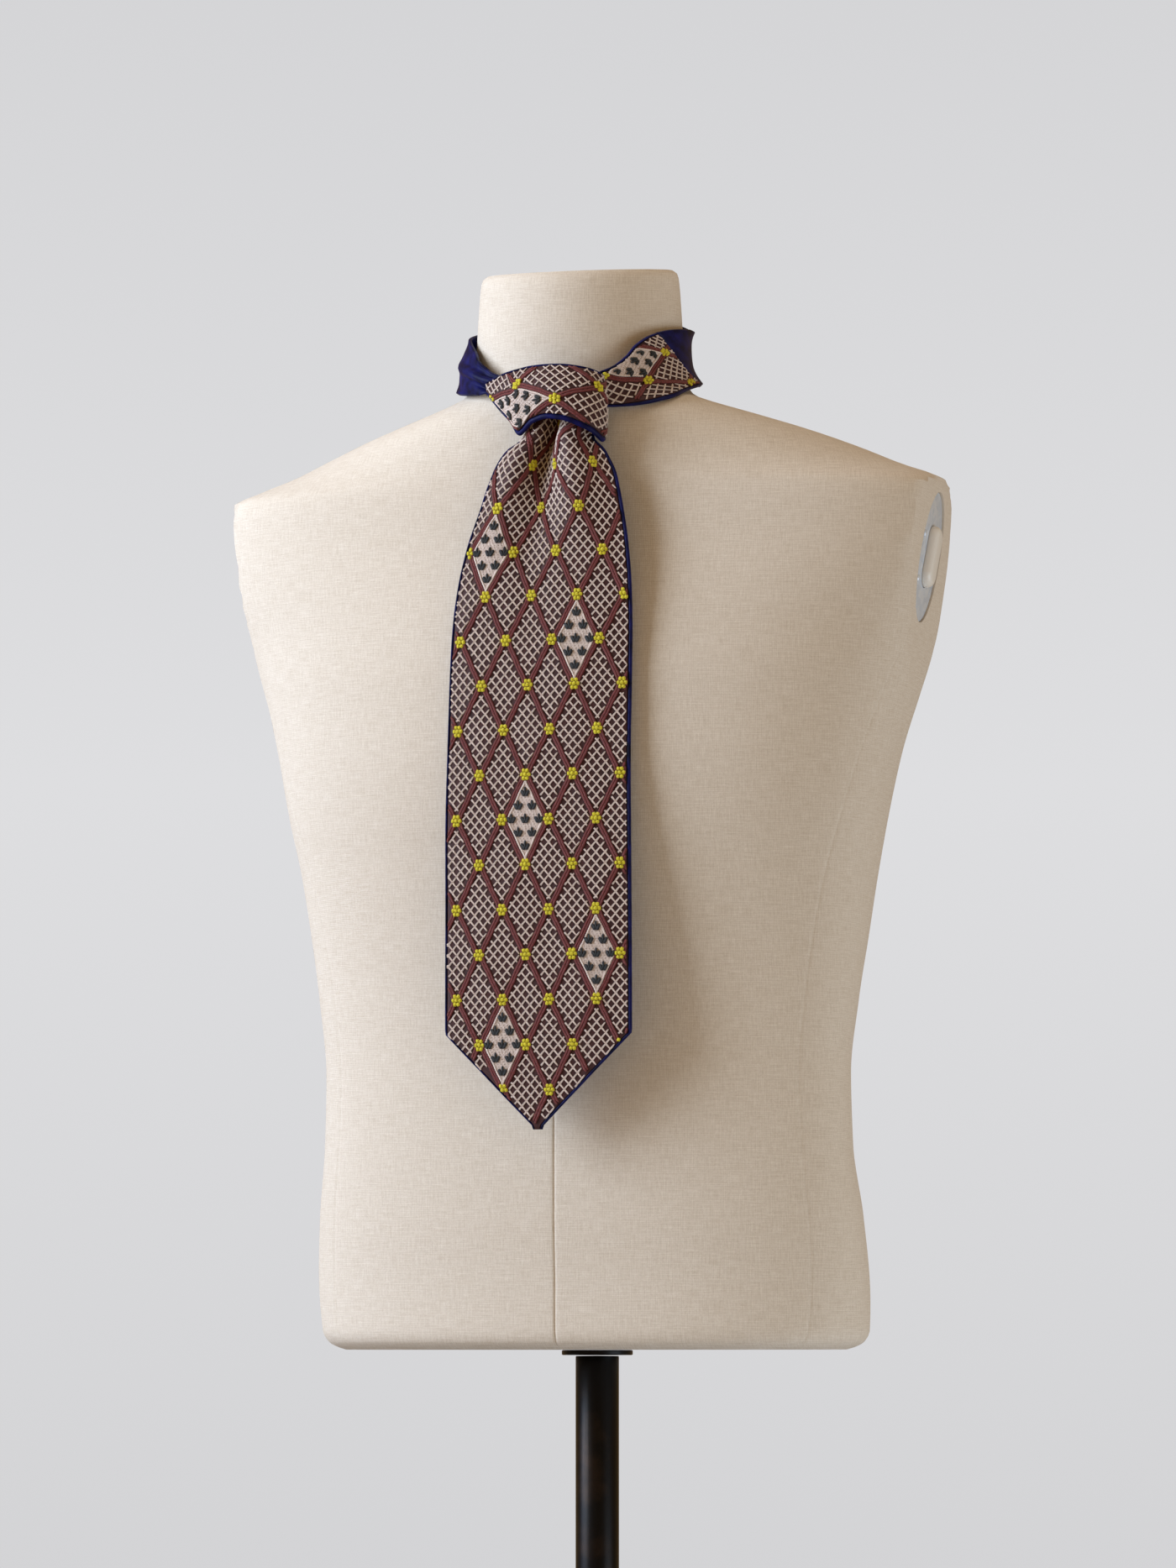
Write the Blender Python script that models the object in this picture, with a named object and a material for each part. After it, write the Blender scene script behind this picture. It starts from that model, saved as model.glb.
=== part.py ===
# An embroidered cravat in a four-in-hand knot, worn by a limbless linen dress form on a pole and a round base.
# Metres, +Z up. The form faces -Y, and the origin is the middle of the base's underside.
# Left and right are the wearer's: the wearer's left is +X.
import math

import bmesh
import bpy
import numpy as np
from mathutils import Matrix, Vector

MM = 0.001

# Driving sizes of the stand and the form
BASE_RADIUS = 0.150
BASE_THICKNESS = 0.008
POLE_RADIUS = 0.0128
FORM_BOTTOM = 0.207
FLANGE_RADIUS = 0.021
FLANGE_THICKNESS = 0.003
NECK_CENTRE_Y = -0.037
NECK_SLOPE = 0.13
NECK_LIFT = 0.0055
NECK_SLOPE_FROM = 0.782
NECK_TOP = 0.838
SECTION_POINTS = 44
RING_SPACING = 0.022

# Driving sizes of the armhole plates
PLATE_HEIGHT = 0.6705
PLATE_CENTRE_Y = -0.014
PLATE_HALF_LENGTH = 0.040
PLATE_HALF_WIDTH = 0.024
PLATE_THICKNESS = 0.003
PLATE_LEAN = math.radians(-14)
RECESS_DEPTH = 0.0045
SLOT_HALF_LENGTH = 0.019
SLOT_RADIUS = 0.0085
SLOT_DEPTH = 0.0018
ARM_FACE_TILT = math.radians(7.3)
ARM_FACE_X = 0.211
ARM_FACE_HEIGHT = 0.700
ARM_CUT_SIZE = 0.29

# Driving sizes of the cloth
FACE_THICKNESS = 0.0014
LINING_THICKNESS = 0.0010
PIPING_WIDTH = 0.0019
NECK_PIPING_WIDTH = 0.0013
SEAM_GAP = 0.0003
BLADE_TOP = 0.753
BLADE_SHOULDER = 0.3884
BLADE_TIP = 0.3318
TAIL_TOP = 0.7518
TAIL_SHOULDER = 0.442
TAIL_TIP = 0.418
TAIL_THICKNESS = 0.0018
NECKBAND_THICKNESS = 0.0020
BLADE_GATHERED_TO = 0.646
BLADE_COLUMNS = 19
BAND_CLEARANCE = 0.0032

# Each layer's front and back, measured outwards from the cloth's middle surface
FACE_OUT = SEAM_GAP / 2 + FACE_THICKNESS
FACE_IN = SEAM_GAP / 2
LINING_OUT = -SEAM_GAP / 2
LINING_IN = -SEAM_GAP / 2 - LINING_THICKNESS

# Where the embroidered stretch meets the plain neckband, as an angle round the neck at the band's two edges
SEAM_ANGLE_LOW = 95
SEAM_ANGLE_HIGH = 58
SEAM_HALF_GAP = 0.42
NECK_START_ANGLE = 25
GATHER_ANGLE = 336

COLOURS = {
    "linen": ((0.62, 0.57, 0.49), 0.9, 0.0),
    "embroidery": ((0.16, 0.045, 0.045), 0.75, 0.0),
    "navy_satin": ((0.02, 0.022, 0.09), 0.45, 0.0),
    "bronzed_steel": ((0.03, 0.025, 0.022), 0.35, 0.8),
    "zinc_plate": ((0.5, 0.53, 0.57), 0.4, 0.9),
}


# Named columns against the first one, joined by smooth lines that never overshoot their rows.
class Table:
    def __init__(self, columns, rows, unit=MM):
        self.names = columns.split()
        self.rows = np.array(rows, float) * unit
        order = np.argsort(self.rows[:, 0])
        self.keys = self.rows[order, 0]
        self.values = self.rows[order]
        steps = np.diff(self.values, axis=0) / np.diff(self.keys)[:, None]
        before, after = steps[:-1], steps[1:]
        same_way = before * after > 0
        total = np.where(same_way, before + after, 1)
        inner = np.where(same_way, 2 * before * after / total, 0)
        self.slopes = np.vstack([steps[:1], inner, steps[-1:]])

    def at(self, key):
        key = min(max(key, self.keys[0]), self.keys[-1])
        i = min(int(np.searchsorted(self.keys, key, "right")), len(self.keys) - 1) - 1
        i = max(i, 0)
        span = self.keys[i + 1] - self.keys[i]
        s = (key - self.keys[i]) / span
        start = (1 + 2 * s) * (1 - s) ** 2 * self.values[i]
        end = s * s * (3 - 2 * s) * self.values[i + 1]
        lift = s * (1 - s) ** 2 * span * self.slopes[i]
        fall = s * s * (s - 1) * span * self.slopes[i + 1]
        return dict(zip(self.names, start + end + lift + fall))


# The dress form's sections, from the underside to the top of the neck, in millimetres
FORM = Table(
    "z half_width front back widest",
    [
        (207, 151, -79, 72, -5),
        (209, 157, -85, 80, -5),
        (212, 161.5, -88.5, 84, -5.5),
        (218, 164.6, -90, 85.5, -6.7),
        (243, 165.7, -90, 87, -11.6),
        (285, 163.3, -92, 84, -18.9),
        (327, 158.7, -92, 77, -25.2),
        (369, 157.8, -93, 71, -25.1),
        (411, 162.2, -96, 71, -22.9),
        (453, 168.2, -102, 76, -19.9),
        (487, 173.3, -108, 82, -20.4),
        (523, 180.2, -114, 88, -23.5),
        (559, 187.4, -117, 93, -19.9),
        (592, 196.7, -117, 96, -12.9),
        (625, 209, -114, 97, -10.3),
        (653, 220.8, -109, 95, -16.7),
        (680, 228, -104, 91, -19.4),
        (701, 229, -101.5, 87, -20),
        (710.5, 225, -100, 84, -20),
        (718, 213, -99.2, 81, -2),
        (727, 188.5, -98.4, 77, 2),
        (737, 165, -97.8, 72, 0),
        (746.6, 139, -97.4, 66, -8),
        (756, 109, -97, 57, -18),
        (761.5, 90, -96.8, 50, -26),
        (767, 72.5, -96.8, 43, -34.5),
        (773, 65, -96.8, 37, -36.5),
        (782, 62.3, -97, 29.5, -37),
        (800, 61.2, -97.5, 25.5, -37),
        (818, 60, -97, 23.5, -37),
        (830, 59, -96, 22, -37),
        (835.5, 58, -94.5, 20.5, -37),
        (838, 55, -91.5, 17, -37),
    ],
)
SQUARENESS = Table(
    "z power",
    [(200, 2300), (420, 2350), (520, 2450), (590, 2500), (650, 2350), (700, 2280), (745, 2150), (770, 2000), (838, 2000)],
)

# The blade hanging from the knot, in millimetres: y is the cloth's middle, and the last four columns are its folds
BLADE = Table(
    "z centre_x half_width y right_fold dimple left_fold edge_back",
    [
        (753.8, 11.9, 16.6, -113.2, 3, 8, 3.5, 4),
        (741.5, 10.5, 19.5, -115.2, 5, 10.8, 6, 4.8),
        (733.3, 8.5, 21.9, -116.6, 6.4, 12.3, 8, 5.4),
        (730.2, 8.3, 25.1, -117.1, 6.8, 11.9, 8.1, 5.3),
        (727.2, 7.8, 29, -117.6, 7, 11.5, 8.2, 5.2),
        (721.1, 7.3, 33.1, -118.2, 7, 10.8, 8, 5.1),
        (714.9, 7.3, 36.3, -118.8, 6.6, 9.8, 7.5, 5),
        (704.8, 6.7, 39.7, -119.6, 5.6, 7.8, 6.1, 4.6),
        (694.6, 6.1, 42.5, -120.3, 4.4, 5.8, 4.6, 4.4),
        (671.3, 4.1, 48.5, -121.8, 2.5, 3, 2, 3.8),
        (646, 2.5, 52.5, -123.2, 0.8, 1, 0.4, 3.4),
        (621.7, 1.5, 54.3, -124.2, 0.2, 0.3, 0.1, 3.1),
        (595.5, 0.8, 54.9, -124.9, 0, 0, 0, 3),
        (548.3, -0.2, 55.2, -125, 0, 0, 0, 3),
        (499.2, -0.8, 55.9, -124.4, 0, 0, 0, 2.8),
        (388.4, -1, 56.1, -122.2, 0, 0, 0, 2.4),
        (331.8, -1.1, 56.1, -120.4, 0, 0, 0, 2.2),
    ],
)

# The narrow end behind the blade, in millimetres
TAIL = Table(
    "z centre_x half_width y",
    [
        (751.8, 10, 13, -100.8),
        (733.3, 9, 14.5, -101.8),
        (717, 9, 15.5, -104),
        (696.6, 8, 17, -107.2),
        (649, 6, 20, -113.2),
        (620.7, 5, 21.5, -116.4),
        (587.5, 4, 22.5, -119.2),
        (554.3, 3, 23, -119.8),
        (495.2, 2, 23.5, -119),
        (418.3, 2, 24, -117.8),
    ],
)

# The wrap across the knot, from the wearer's right round the front to the left, in millimetres
WRAP = Table(
    "along top_x top_y top_z low_x low_y low_z bulge",
    [
        (0, -37.1, -102.8, 771, -36.1, -102.2, 762.9, 0.5),
        (12, -28.3, -108, 773.4, -25.7, -110, 751.4, 1.5),
        (20, -19.7, -112.5, 775.2, -17, -115, 742.6, 2.5),
        (25, -14.7, -114.5, 775.8, -12.7, -117.5, 736.4, 3.2),
        (33, -6.2, -117, 776.7, -3.7, -123, 742.5, 3.5),
        (43, 3.9, -118.6, 777, 5.9, -127, 744.4, 3.5),
        (51, 11.4, -118.8, 776.8, 13.9, -127.6, 743.4, 3.5),
        (62, 22.5, -116.6, 775.5, 25, -125, 739.3, 3.2),
        (71, 29, -112.3, 773.9, 31.4, -119.5, 735.6, 2.6),
        (80, 32.4, -106.8, 772.1, 34, -111, 732, 2),
        (86, 32.4, -104.2, 771.5, 33, -104.5, 733.2, 1.6),
    ],
)

# The hidden layers inside the wrap share one rounded solid, in millimetres
INNER_LAYERS = Table(
    "x back front low high",
    [
        (-27.4, -100.3, -101.4, 766.9, 768.8),
        (-20, -100.4, -105, 762.2, 770.3),
        (-11, -100.2, -111.5, 757.1, 772.3),
        (-2, -100.2, -115.5, 754.7, 773),
        (10, -100.2, -117.5, 753.6, 773.1),
        (18, -101.2, -114.2, 754.3, 772),
        (25, -102.6, -110, 757.2, 768.9),
        (29.5, -102.6, -107, 759.8, 765.9),
    ],
)

# The band round the neck, against the angle from the front towards the wearer's left; angles are thousandths of a
# degree here only so that one unit serves every column
BAND = Table(
    "angle low_z high_z low_r middle_r high_r",
    [
        (25000, 753.8, 774.7, 70.5, 70.2, 70),
        (31000, 753.9, 777.9, 71, 70.2, 69.2),
        (39000, 754.7, 784.9, 71, 69.5, 67.5),
        (45000, 756, 792.5, 70.8, 68.3, 66.7),
        (55000, 759.7, 799.3, 70.7, 66.6, 66),
        (70000, 766.1, 804, 71, 65, 66.4),
        (90000, 772.8, 807, 71.8, 63.8, 67.2),
        (110000, 778, 809.6, 72.2, 63.8, 67.2),
        (140000, 788, 819, 70.5, 65, 65.8),
        (180000, 793, 825, 68, 65.6, 64.6),
        (220000, 789.5, 821.5, 69, 65.6, 64.6),
        (250000, 781.5, 814.5, 70.5, 66, 64.4),
        (270000, 775.8, 809, 71.5, 67.8, 64.2),
        (287000, 771.4, 803.8, 71.8, 69.6, 64.6),
        (302000, 768.2, 796.3, 72.5, 71, 66),
        (316000, 765.9, 786.8, 71.8, 71.3, 69),
        (326000, 764.4, 778.3, 70.3, 70, 69.5),
        (336000, 764, 773.1, 67.6, 67.5, 67.4),
    ],
)
GATHER_FOLDS = Table(
    "angle depth",
    [(265000, 0.0), (287000, 1.0), (302000, 2.0), (316000, 2.2), (326000, 1.4), (336000, 0.6)],
)


def clear_scene():
    for found in list(bpy.data.objects):
        bpy.data.objects.remove(found, do_unlink=True)


def material(name):
    colour, roughness, metallic = COLOURS[name]
    made = bpy.data.materials.get(name) or bpy.data.materials.new(name)
    made.use_nodes = True
    shader = made.node_tree.nodes["Principled BSDF"]
    shader.inputs["Base Color"].default_value = (*colour, 1)
    shader.inputs["Roughness"].default_value = roughness
    shader.inputs["Metallic"].default_value = metallic
    return made


def finished(name, shape, material_name, parent):
    bmesh.ops.recalc_face_normals(shape, faces=shape.faces)
    mesh = bpy.data.meshes.new(name)
    shape.to_mesh(mesh)
    shape.free()
    mesh.shade_smooth()
    mesh.set_sharp_from_angle(angle=math.radians(40))
    mesh.materials.append(material(material_name))
    made = bpy.data.objects.new(name, mesh)
    made.parent = parent
    bpy.context.scene.collection.objects.link(made)
    return made


def group(name):
    made = bpy.data.objects.new(name, None)
    bpy.context.scene.collection.objects.link(made)
    return made


# A closed solid through rings that all have the same number of points, with a flat cap at each end. Its triangles
# lean the same way on a wall's front and back, so layers with the same stations stay the same distance apart.
def loft(rings):
    shape = bmesh.new()
    made = [[shape.verts.new(point) for point in ring] for ring in rings]
    count = len(rings[0])
    for lower, upper in zip(made, made[1:]):
        for i in range(count):
            j = (i + 1) % count
            if i < count // 2:
                shape.faces.new((lower[i], lower[j], upper[j]))
                shape.faces.new((lower[i], upper[j], upper[i]))
            else:
                shape.faces.new((lower[i], lower[j], upper[i]))
                shape.faces.new((lower[j], upper[j], upper[i]))
    shape.faces.new(made[0])
    shape.faces.new(list(reversed(made[-1])))
    return shape


# A solid turned about the upright axis from its (radius, height) profile.
def turned(profile, segments):
    shape = bmesh.new()
    chain = [shape.verts.new((radius, 0, height)) for radius, height in profile]
    edges = [shape.edges.new(pair) for pair in zip(chain, chain[1:])]
    bmesh.ops.spin(
        shape,
        geom=chain + edges,
        cent=(0, 0, 0),
        axis=(0, 0, 1),
        angle=math.tau,
        steps=segments,
        use_merge=True,
    )
    bmesh.ops.remove_doubles(shape, verts=shape.verts, dist=1e-6)
    return shape


def signed_power(value, power):
    return math.copysign(abs(value) ** power, value)


def arm_face(z):
    return ARM_FACE_X - (ARM_FACE_HEIGHT - z) * math.tan(ARM_FACE_TILT)


# The neck's top slopes up to the back, so its last sections lean more and more.
def form_ring(z):
    section = FORM.at(z)
    power = 2 / (SQUARENESS.at(z)["power"])
    share = max(0.0, (z - NECK_SLOPE_FROM) / (NECK_TOP - NECK_SLOPE_FROM))
    share = share * share * (3 - 2 * share)
    ring = []
    for i in range(SECTION_POINTS):
        angle = math.tau * i / SECTION_POINTS
        side = math.sin(angle)
        reach = section["back"] if side > 0 else section["front"]
        x = section["half_width"] * signed_power(math.cos(angle), power)
        y = section["widest"] + abs(reach - section["widest"]) * signed_power(side, power)
        ring.append((x, y, z + share * (NECK_LIFT + NECK_SLOPE * (y - NECK_CENTRE_Y))))
    return ring


def form_levels():
    levels = [FORM.keys[0]]
    for low, high in zip(FORM.keys, FORM.keys[1:]):
        steps = max(1, math.ceil((high - low) / RING_SPACING))
        levels += [low + (high - low) * (i + 1) / steps for i in range(steps)]
    return levels


# Places something drawn round its own origin, facing +X, on the arm face of one side.
def on_arm_face(shape, side, depth):
    x = arm_face(PLATE_HEIGHT) - depth
    lean = Matrix.Rotation(PLATE_LEAN, 4, "X")
    tilt = Matrix.Rotation(ARM_FACE_TILT, 4, "Y")
    place = Matrix.Translation((x, PLATE_CENTRE_Y, PLATE_HEIGHT))
    bmesh.ops.transform(shape, matrix=place @ tilt @ lean, verts=shape.verts)
    if side < 0:
        bmesh.ops.transform(shape, matrix=Matrix.Scale(-1, 4, (1, 0, 0)), verts=shape.verts)


# An oval slab from x = 0 to x = depth, its long way upright.
def oval(half_width, half_length, depth, segments=40):
    rings = []
    for x in (0, depth):
        angles = [math.tau * i / segments for i in range(segments)]
        rings.append([(x, half_width * math.cos(a), half_length * math.sin(a)) for a in angles])
    return loft(rings)


# A block whose near face lies at x = 0.
def block(side):
    shape = bmesh.new()
    bmesh.ops.create_cube(shape, size=side, matrix=Matrix.Translation((side / 2, 0, 0)))
    return shape


# A slab with straight sides and round ends from x = 0 to x = depth.
def stadium(radius, half_length, depth, end_points=9):
    rings = []
    for x in (0, depth):
        ring = []
        for middle, start in ((half_length - radius, 0), (radius - half_length, math.pi)):
            for i in range(end_points):
                angle = start + math.pi * i / (end_points - 1)
                ring.append((x, radius * math.cos(angle), middle + radius * math.sin(angle)))
        rings.append(ring)
    return loft(rings)


def cut(target, name, shape):
    cutter = finished(name, shape, "zinc_plate", None)
    cutter.hide_render = True
    cutter.display_type = "WIRE"
    modifier = target.modifiers.new(name, "BOOLEAN")
    modifier.operation = "DIFFERENCE"
    modifier.object = cutter


def dress_form(parent):
    torso = finished("form_torso", loft([form_ring(z) for z in form_levels()]), "linen", parent)
    for side, word in ((1, "left"), (-1, "right")):
        beyond = block(ARM_CUT_SIZE)
        on_arm_face(beyond, side, 0)
        cut(torso, f"arm_face_{word}", beyond)
        recess = oval(PLATE_HALF_WIDTH, PLATE_HALF_LENGTH, 0.02)
        on_arm_face(recess, side, RECESS_DEPTH)
        cut(torso, f"recess_{word}", recess)
        plate = oval(PLATE_HALF_WIDTH - SEAM_GAP, PLATE_HALF_LENGTH - SEAM_GAP, PLATE_THICKNESS)
        on_arm_face(plate, side, RECESS_DEPTH - SEAM_GAP)
        made = finished(f"arm_plate_{word}", plate, "zinc_plate", parent)
        slot = stadium(SLOT_RADIUS, SLOT_HALF_LENGTH, 0.01)
        on_arm_face(slot, side, RECESS_DEPTH - SEAM_GAP - PLATE_THICKNESS + SLOT_DEPTH)
        cut(made, f"slot_{word}", slot)


def stand(parent):
    hub_radius, hub_height, edge = 0.030, 0.014, 0.0015
    base = [
        (0, 0),
        (BASE_RADIUS - edge, 0),
        (BASE_RADIUS, edge),
        (BASE_RADIUS, BASE_THICKNESS - edge),
        (BASE_RADIUS - edge, BASE_THICKNESS),
        (hub_radius + 0.004, BASE_THICKNESS),
        (hub_radius, BASE_THICKNESS + 0.003),
        (hub_radius - 0.006, hub_height + BASE_THICKNESS),
        (0, hub_height + BASE_THICKNESS),
    ]
    finished("stand_base", turned(base, 48), "bronzed_steel", parent)
    pole_low = BASE_THICKNESS + hub_height + SEAM_GAP
    flange_low = FORM_BOTTOM - SEAM_GAP - FLANGE_THICKNESS
    pole_high = flange_low - SEAM_GAP
    pole = [(0, pole_low), (POLE_RADIUS, pole_low), (POLE_RADIUS, pole_high), (0, pole_high)]
    finished("stand_pole", turned(pole, 24), "bronzed_steel", parent)
    flange = [
        (0, flange_low),
        (FLANGE_RADIUS, flange_low),
        (FLANGE_RADIUS, flange_low + FLANGE_THICKNESS),
        (0, flange_low + FLANGE_THICKNESS),
    ]
    finished("stand_flange", turned(flange, 24), "bronzed_steel", parent)


def bump(value, centre, width):
    return math.exp(-(((value - centre) / width) ** 2))


# The blade's middle surface: t runs from -1 at the wearer's right edge to 1 at the left.
def blade_point(z, t):
    row = BLADE.at(z)
    y = row["y"] + row["edge_back"] * t * t
    y -= row["left_fold"] * bump(t, 0.34, 0.36) + row["right_fold"] * bump(t, -0.66, 0.30)
    y += row["dimple"] * bump(t, -0.14, 0.28)
    return Vector((row["centre_x"] + row["half_width"] * t, y, z))


# How much of the blade's width is left at a height, below the shoulders of its point.
def point_share(z, shoulder, tip):
    return min(1.0, (z - tip) / (shoulder - tip))


def tail_point(z, t):
    row = TAIL.at(z)
    return Vector((row["centre_x"] + row["half_width"] * t, row["y"] + 0.0006 * t * t, z))


def wrap_point(along, t):
    row = WRAP.at(along)
    top = Vector((row["top_x"], row["top_y"], row["top_z"]))
    low = Vector((row["low_x"], row["low_y"], row["low_z"]))
    share = (t + 1) / 2
    middle = low.lerp(top, share)
    around = Vector((middle.x - 0.004, middle.y + 0.104, 0)).normalized()
    return middle + around * (row["bulge"] * (1 - t * t))


# How far the form reaches from the neck's axis at a height, towards an angle from the front.
def form_reach(angle, z):
    section = FORM.at(z)
    power = SQUARENESS.at(z)["power"]
    turn = math.radians(angle)
    near, far = 0.02, 0.25
    for _ in range(18):
        radius = (near + far) / 2
        y = NECK_CENTRE_Y - radius * math.cos(turn) - section["widest"]
        reach = abs((section["back"] if y > 0 else section["front"]) - section["widest"])
        inside = abs(radius * math.sin(turn) / section["half_width"]) ** power + abs(y / reach) ** power < 1
        near, far = (radius, far) if inside else (near, radius)
    return radius


def softer_of_two(first, second, softness=0.002):
    return 0.5 * (first + second + math.sqrt((first - second) ** 2 + softness**2))


# The band's middle surface at an angle round the neck, t running from -1 at its lower edge to 1 at its upper one.
# Where the form's shoulder reaches out to it, the cloth rests on the shoulder.
def band_point(angle, t):
    row = BAND.at(angle)
    weights = (t * (t - 1) / 2, 1 - t * t, t * (t + 1) / 2)
    radius = sum(w * row[name] for w, name in zip(weights, ("low_r", "middle_r", "high_r")))
    radius += GATHER_FOLDS.at(angle)["depth"] * math.sin(math.pi * 1.5 * (t + 0.2)) * (1 - 0.4 * abs(t))
    height = row["low_z"] + (row["high_z"] - row["low_z"]) * (t + 1) / 2
    radius = softer_of_two(radius, form_reach(angle, height) + BAND_CLEARANCE)
    turn = math.radians(angle)
    return Vector((radius * math.sin(turn), NECK_CENTRE_Y - radius * math.cos(turn), height))


# A point moved out from a surface of two numbers, along the way the surface faces.
def moved_out(surface, along, t, out, outward=1, step=1e-3):
    near, far = max(t - 0.02, -1), min(t + 0.02, 1)
    across = surface(along, far) - surface(along, near)
    onward = surface(along + step, t) - surface(along - step, t)
    facing = onward.cross(across).normalized() * outward
    return surface(along, t) + facing * out


# The loop of (t, out) round a plain wall, and round a lining whose two edges turn forwards as a piping.
def plain_loop(edge, front, back, columns):
    ts = [edge * (2 * i / (columns - 1) - 1) for i in range(columns)]
    return [(t, front) for t in ts] + [(t, back) for t in reversed(ts)]


def piped_loop(edge, inner, face_edge, floor, columns):
    rim = (edge + inner) / 2
    ts = [face_edge * (2 * i / (columns - 1) - 1) for i in range(columns)]
    front = [(-rim, FACE_OUT), (-inner, FACE_OUT - 0.0004), (-inner, floor)]
    front += [(t, floor) for t in ts]
    front += [(inner, floor), (inner, FACE_OUT - 0.0004), (rim, FACE_OUT)]
    sides = [(edge, FACE_OUT - 0.0006), (edge, LINING_IN + 0.0005)]
    back = [(inner, LINING_IN)] + [(t, LINING_IN) for t in reversed(ts)] + [(-inner, LINING_IN)]
    return front + sides + back + [(-edge, LINING_IN + 0.0005), (-edge, FACE_OUT - 0.0006)]


def wall(surface, stations, loop_at, outward=1):
    rings = []
    for along in stations:
        rings.append([moved_out(surface, along, t, out, outward) for t, out in loop_at(along)])
    return loft(rings)


def evenly(start, end, count):
    return [start + (end - start) * i / (count - 1) for i in range(count)]


# The narrow half-widths of a cloth's face and lining, as shares of the half-width at that station
def layer_edges(half_width, piping=PIPING_WIDTH):
    return 1 - (piping + SEAM_GAP) / half_width, 1 - piping / half_width


def blade(parent):
    slant = math.sqrt(1 + ((BLADE_SHOULDER - BLADE_TIP) / BLADE.at(BLADE_TIP)["half_width"]) ** 2)
    face_tip = BLADE_TIP + (PIPING_WIDTH + SEAM_GAP) * slant + 0.0012
    straight = evenly(BLADE_TOP, BLADE_GATHERED_TO, 20) + evenly(BLADE_GATHERED_TO, BLADE_SHOULDER, 8)[1:]

    def face_loop(z):
        half = BLADE.at(z)["half_width"]
        share = point_share(z, BLADE_SHOULDER, BLADE_TIP)
        edge = share - (PIPING_WIDTH + SEAM_GAP) * (slant if share < 1 else 1) / half
        return plain_loop(edge, FACE_OUT, FACE_IN, BLADE_COLUMNS)

    def lining_loop(z):
        half = BLADE.at(z)["half_width"]
        share = max(point_share(z, BLADE_SHOULDER, BLADE_TIP), 0.008)
        slanted = slant if share < 1 else 1
        inner = share - PIPING_WIDTH * slanted / half
        face_edge = inner - SEAM_GAP * slanted / half
        closed = face_edge < 0.004
        floor = FACE_OUT - 0.0004 if closed else LINING_OUT
        if closed:
            inner, face_edge = share * 0.6, share * 0.5
        return piped_loop(share, inner, face_edge, floor, BLADE_COLUMNS)

    point = evenly(BLADE_SHOULDER, face_tip, 9)[1:]
    finished("blade_face", wall(blade_point, straight + point, face_loop, -1), "embroidery", parent)
    below = evenly(face_tip - 0.0006, BLADE_TIP, 3)
    lining_stations = straight + point + below
    finished("blade_lining", wall(blade_point, lining_stations, lining_loop, -1), "navy_satin", parent)


def tail(parent):
    def loop(z):
        share = max(point_share(z, TAIL_SHOULDER, TAIL_TIP), 0.03)
        return plain_loop(share, TAIL_THICKNESS / 2, -TAIL_THICKNESS / 2, 7)

    stations = evenly(TAIL_TOP, TAIL_SHOULDER, 16) + [TAIL_TIP]
    finished("tail", wall(tail_point, stations, loop, -1), "navy_satin", parent)


def knot(parent):
    stations = evenly(WRAP.keys[0], WRAP.keys[-1], 24)

    def half_width(along):
        return (wrap_point(along, 1) - wrap_point(along, -1)).length / 2

    def face_loop(along):
        return plain_loop(layer_edges(half_width(along))[0], FACE_OUT, FACE_IN, 9)

    def lining_loop(along):
        face_edge, inner = layer_edges(half_width(along))
        return piped_loop(1, inner, face_edge, LINING_OUT, 9)

    finished("knot_wrap_face", wall(wrap_point, stations, face_loop), "embroidery", parent)
    finished("knot_wrap_lining", wall(wrap_point, stations, lining_loop), "navy_satin", parent)

    rings = []
    for x in evenly(INNER_LAYERS.keys[0], INNER_LAYERS.keys[-1], 12):
        row = INNER_LAYERS.at(x)
        middle = ((row["back"] + row["front"]) / 2, (row["low"] + row["high"]) / 2)
        reach = ((row["back"] - row["front"]) / 2, (row["high"] - row["low"]) / 2)
        ring = []
        for i in range(16):
            angle = math.tau * i / 16
            y = middle[0] + reach[0] * signed_power(math.cos(angle), 0.7)
            z = middle[1] + reach[1] * signed_power(math.sin(angle), 0.7)
            ring.append((x, y, z))
        rings.append(ring)
    finished("knot_inner_layers", loft(rings), "embroidery", parent)


# A station of the neck runs slantwise, along the bias seam, and turns upright away from it.
def neck(parent):
    seam_middle = (SEAM_ANGLE_LOW + SEAM_ANGLE_HIGH) / 2
    seam_slant = (SEAM_ANGLE_LOW - SEAM_ANGLE_HIGH) / 2

    def slanted(share, t, start, end, slant_start, slant_end):
        angle = start + (end - start) * share
        return band_point(angle - t * (slant_start + (slant_end - slant_start) * share), t)

    def embroidered(share, t):
        return slanted(share, t, NECK_START_ANGLE, seam_middle - SEAM_HALF_GAP, 0, seam_slant)

    def plain(share, t):
        fade = max(0.0, 1 - share * 3)
        angle = seam_middle + SEAM_HALF_GAP + (GATHER_ANGLE - seam_middle) * share
        return band_point(angle - t * seam_slant * fade, t)

    def half_width(share):
        return (embroidered(share, 1) - embroidered(share, -1)).length / 2

    def face_loop(share):
        return plain_loop(layer_edges(half_width(share), NECK_PIPING_WIDTH)[0], FACE_OUT, FACE_IN, 9)

    def lining_loop(share):
        face_edge, inner = layer_edges(half_width(share), NECK_PIPING_WIDTH)
        return piped_loop(1, inner, face_edge, LINING_OUT, 9)

    def band_loop(share):
        half = NECKBAND_THICKNESS / 2
        return plain_loop(0.985, half, -half, 9)

    finished("neck_face", wall(embroidered, evenly(0, 1, 15), face_loop), "embroidery", parent)
    finished("neck_lining", wall(embroidered, evenly(0, 1, 15), lining_loop), "navy_satin", parent)
    finished("neckband", wall(plain, evenly(0, 1, 35), band_loop), "navy_satin", parent)


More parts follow.
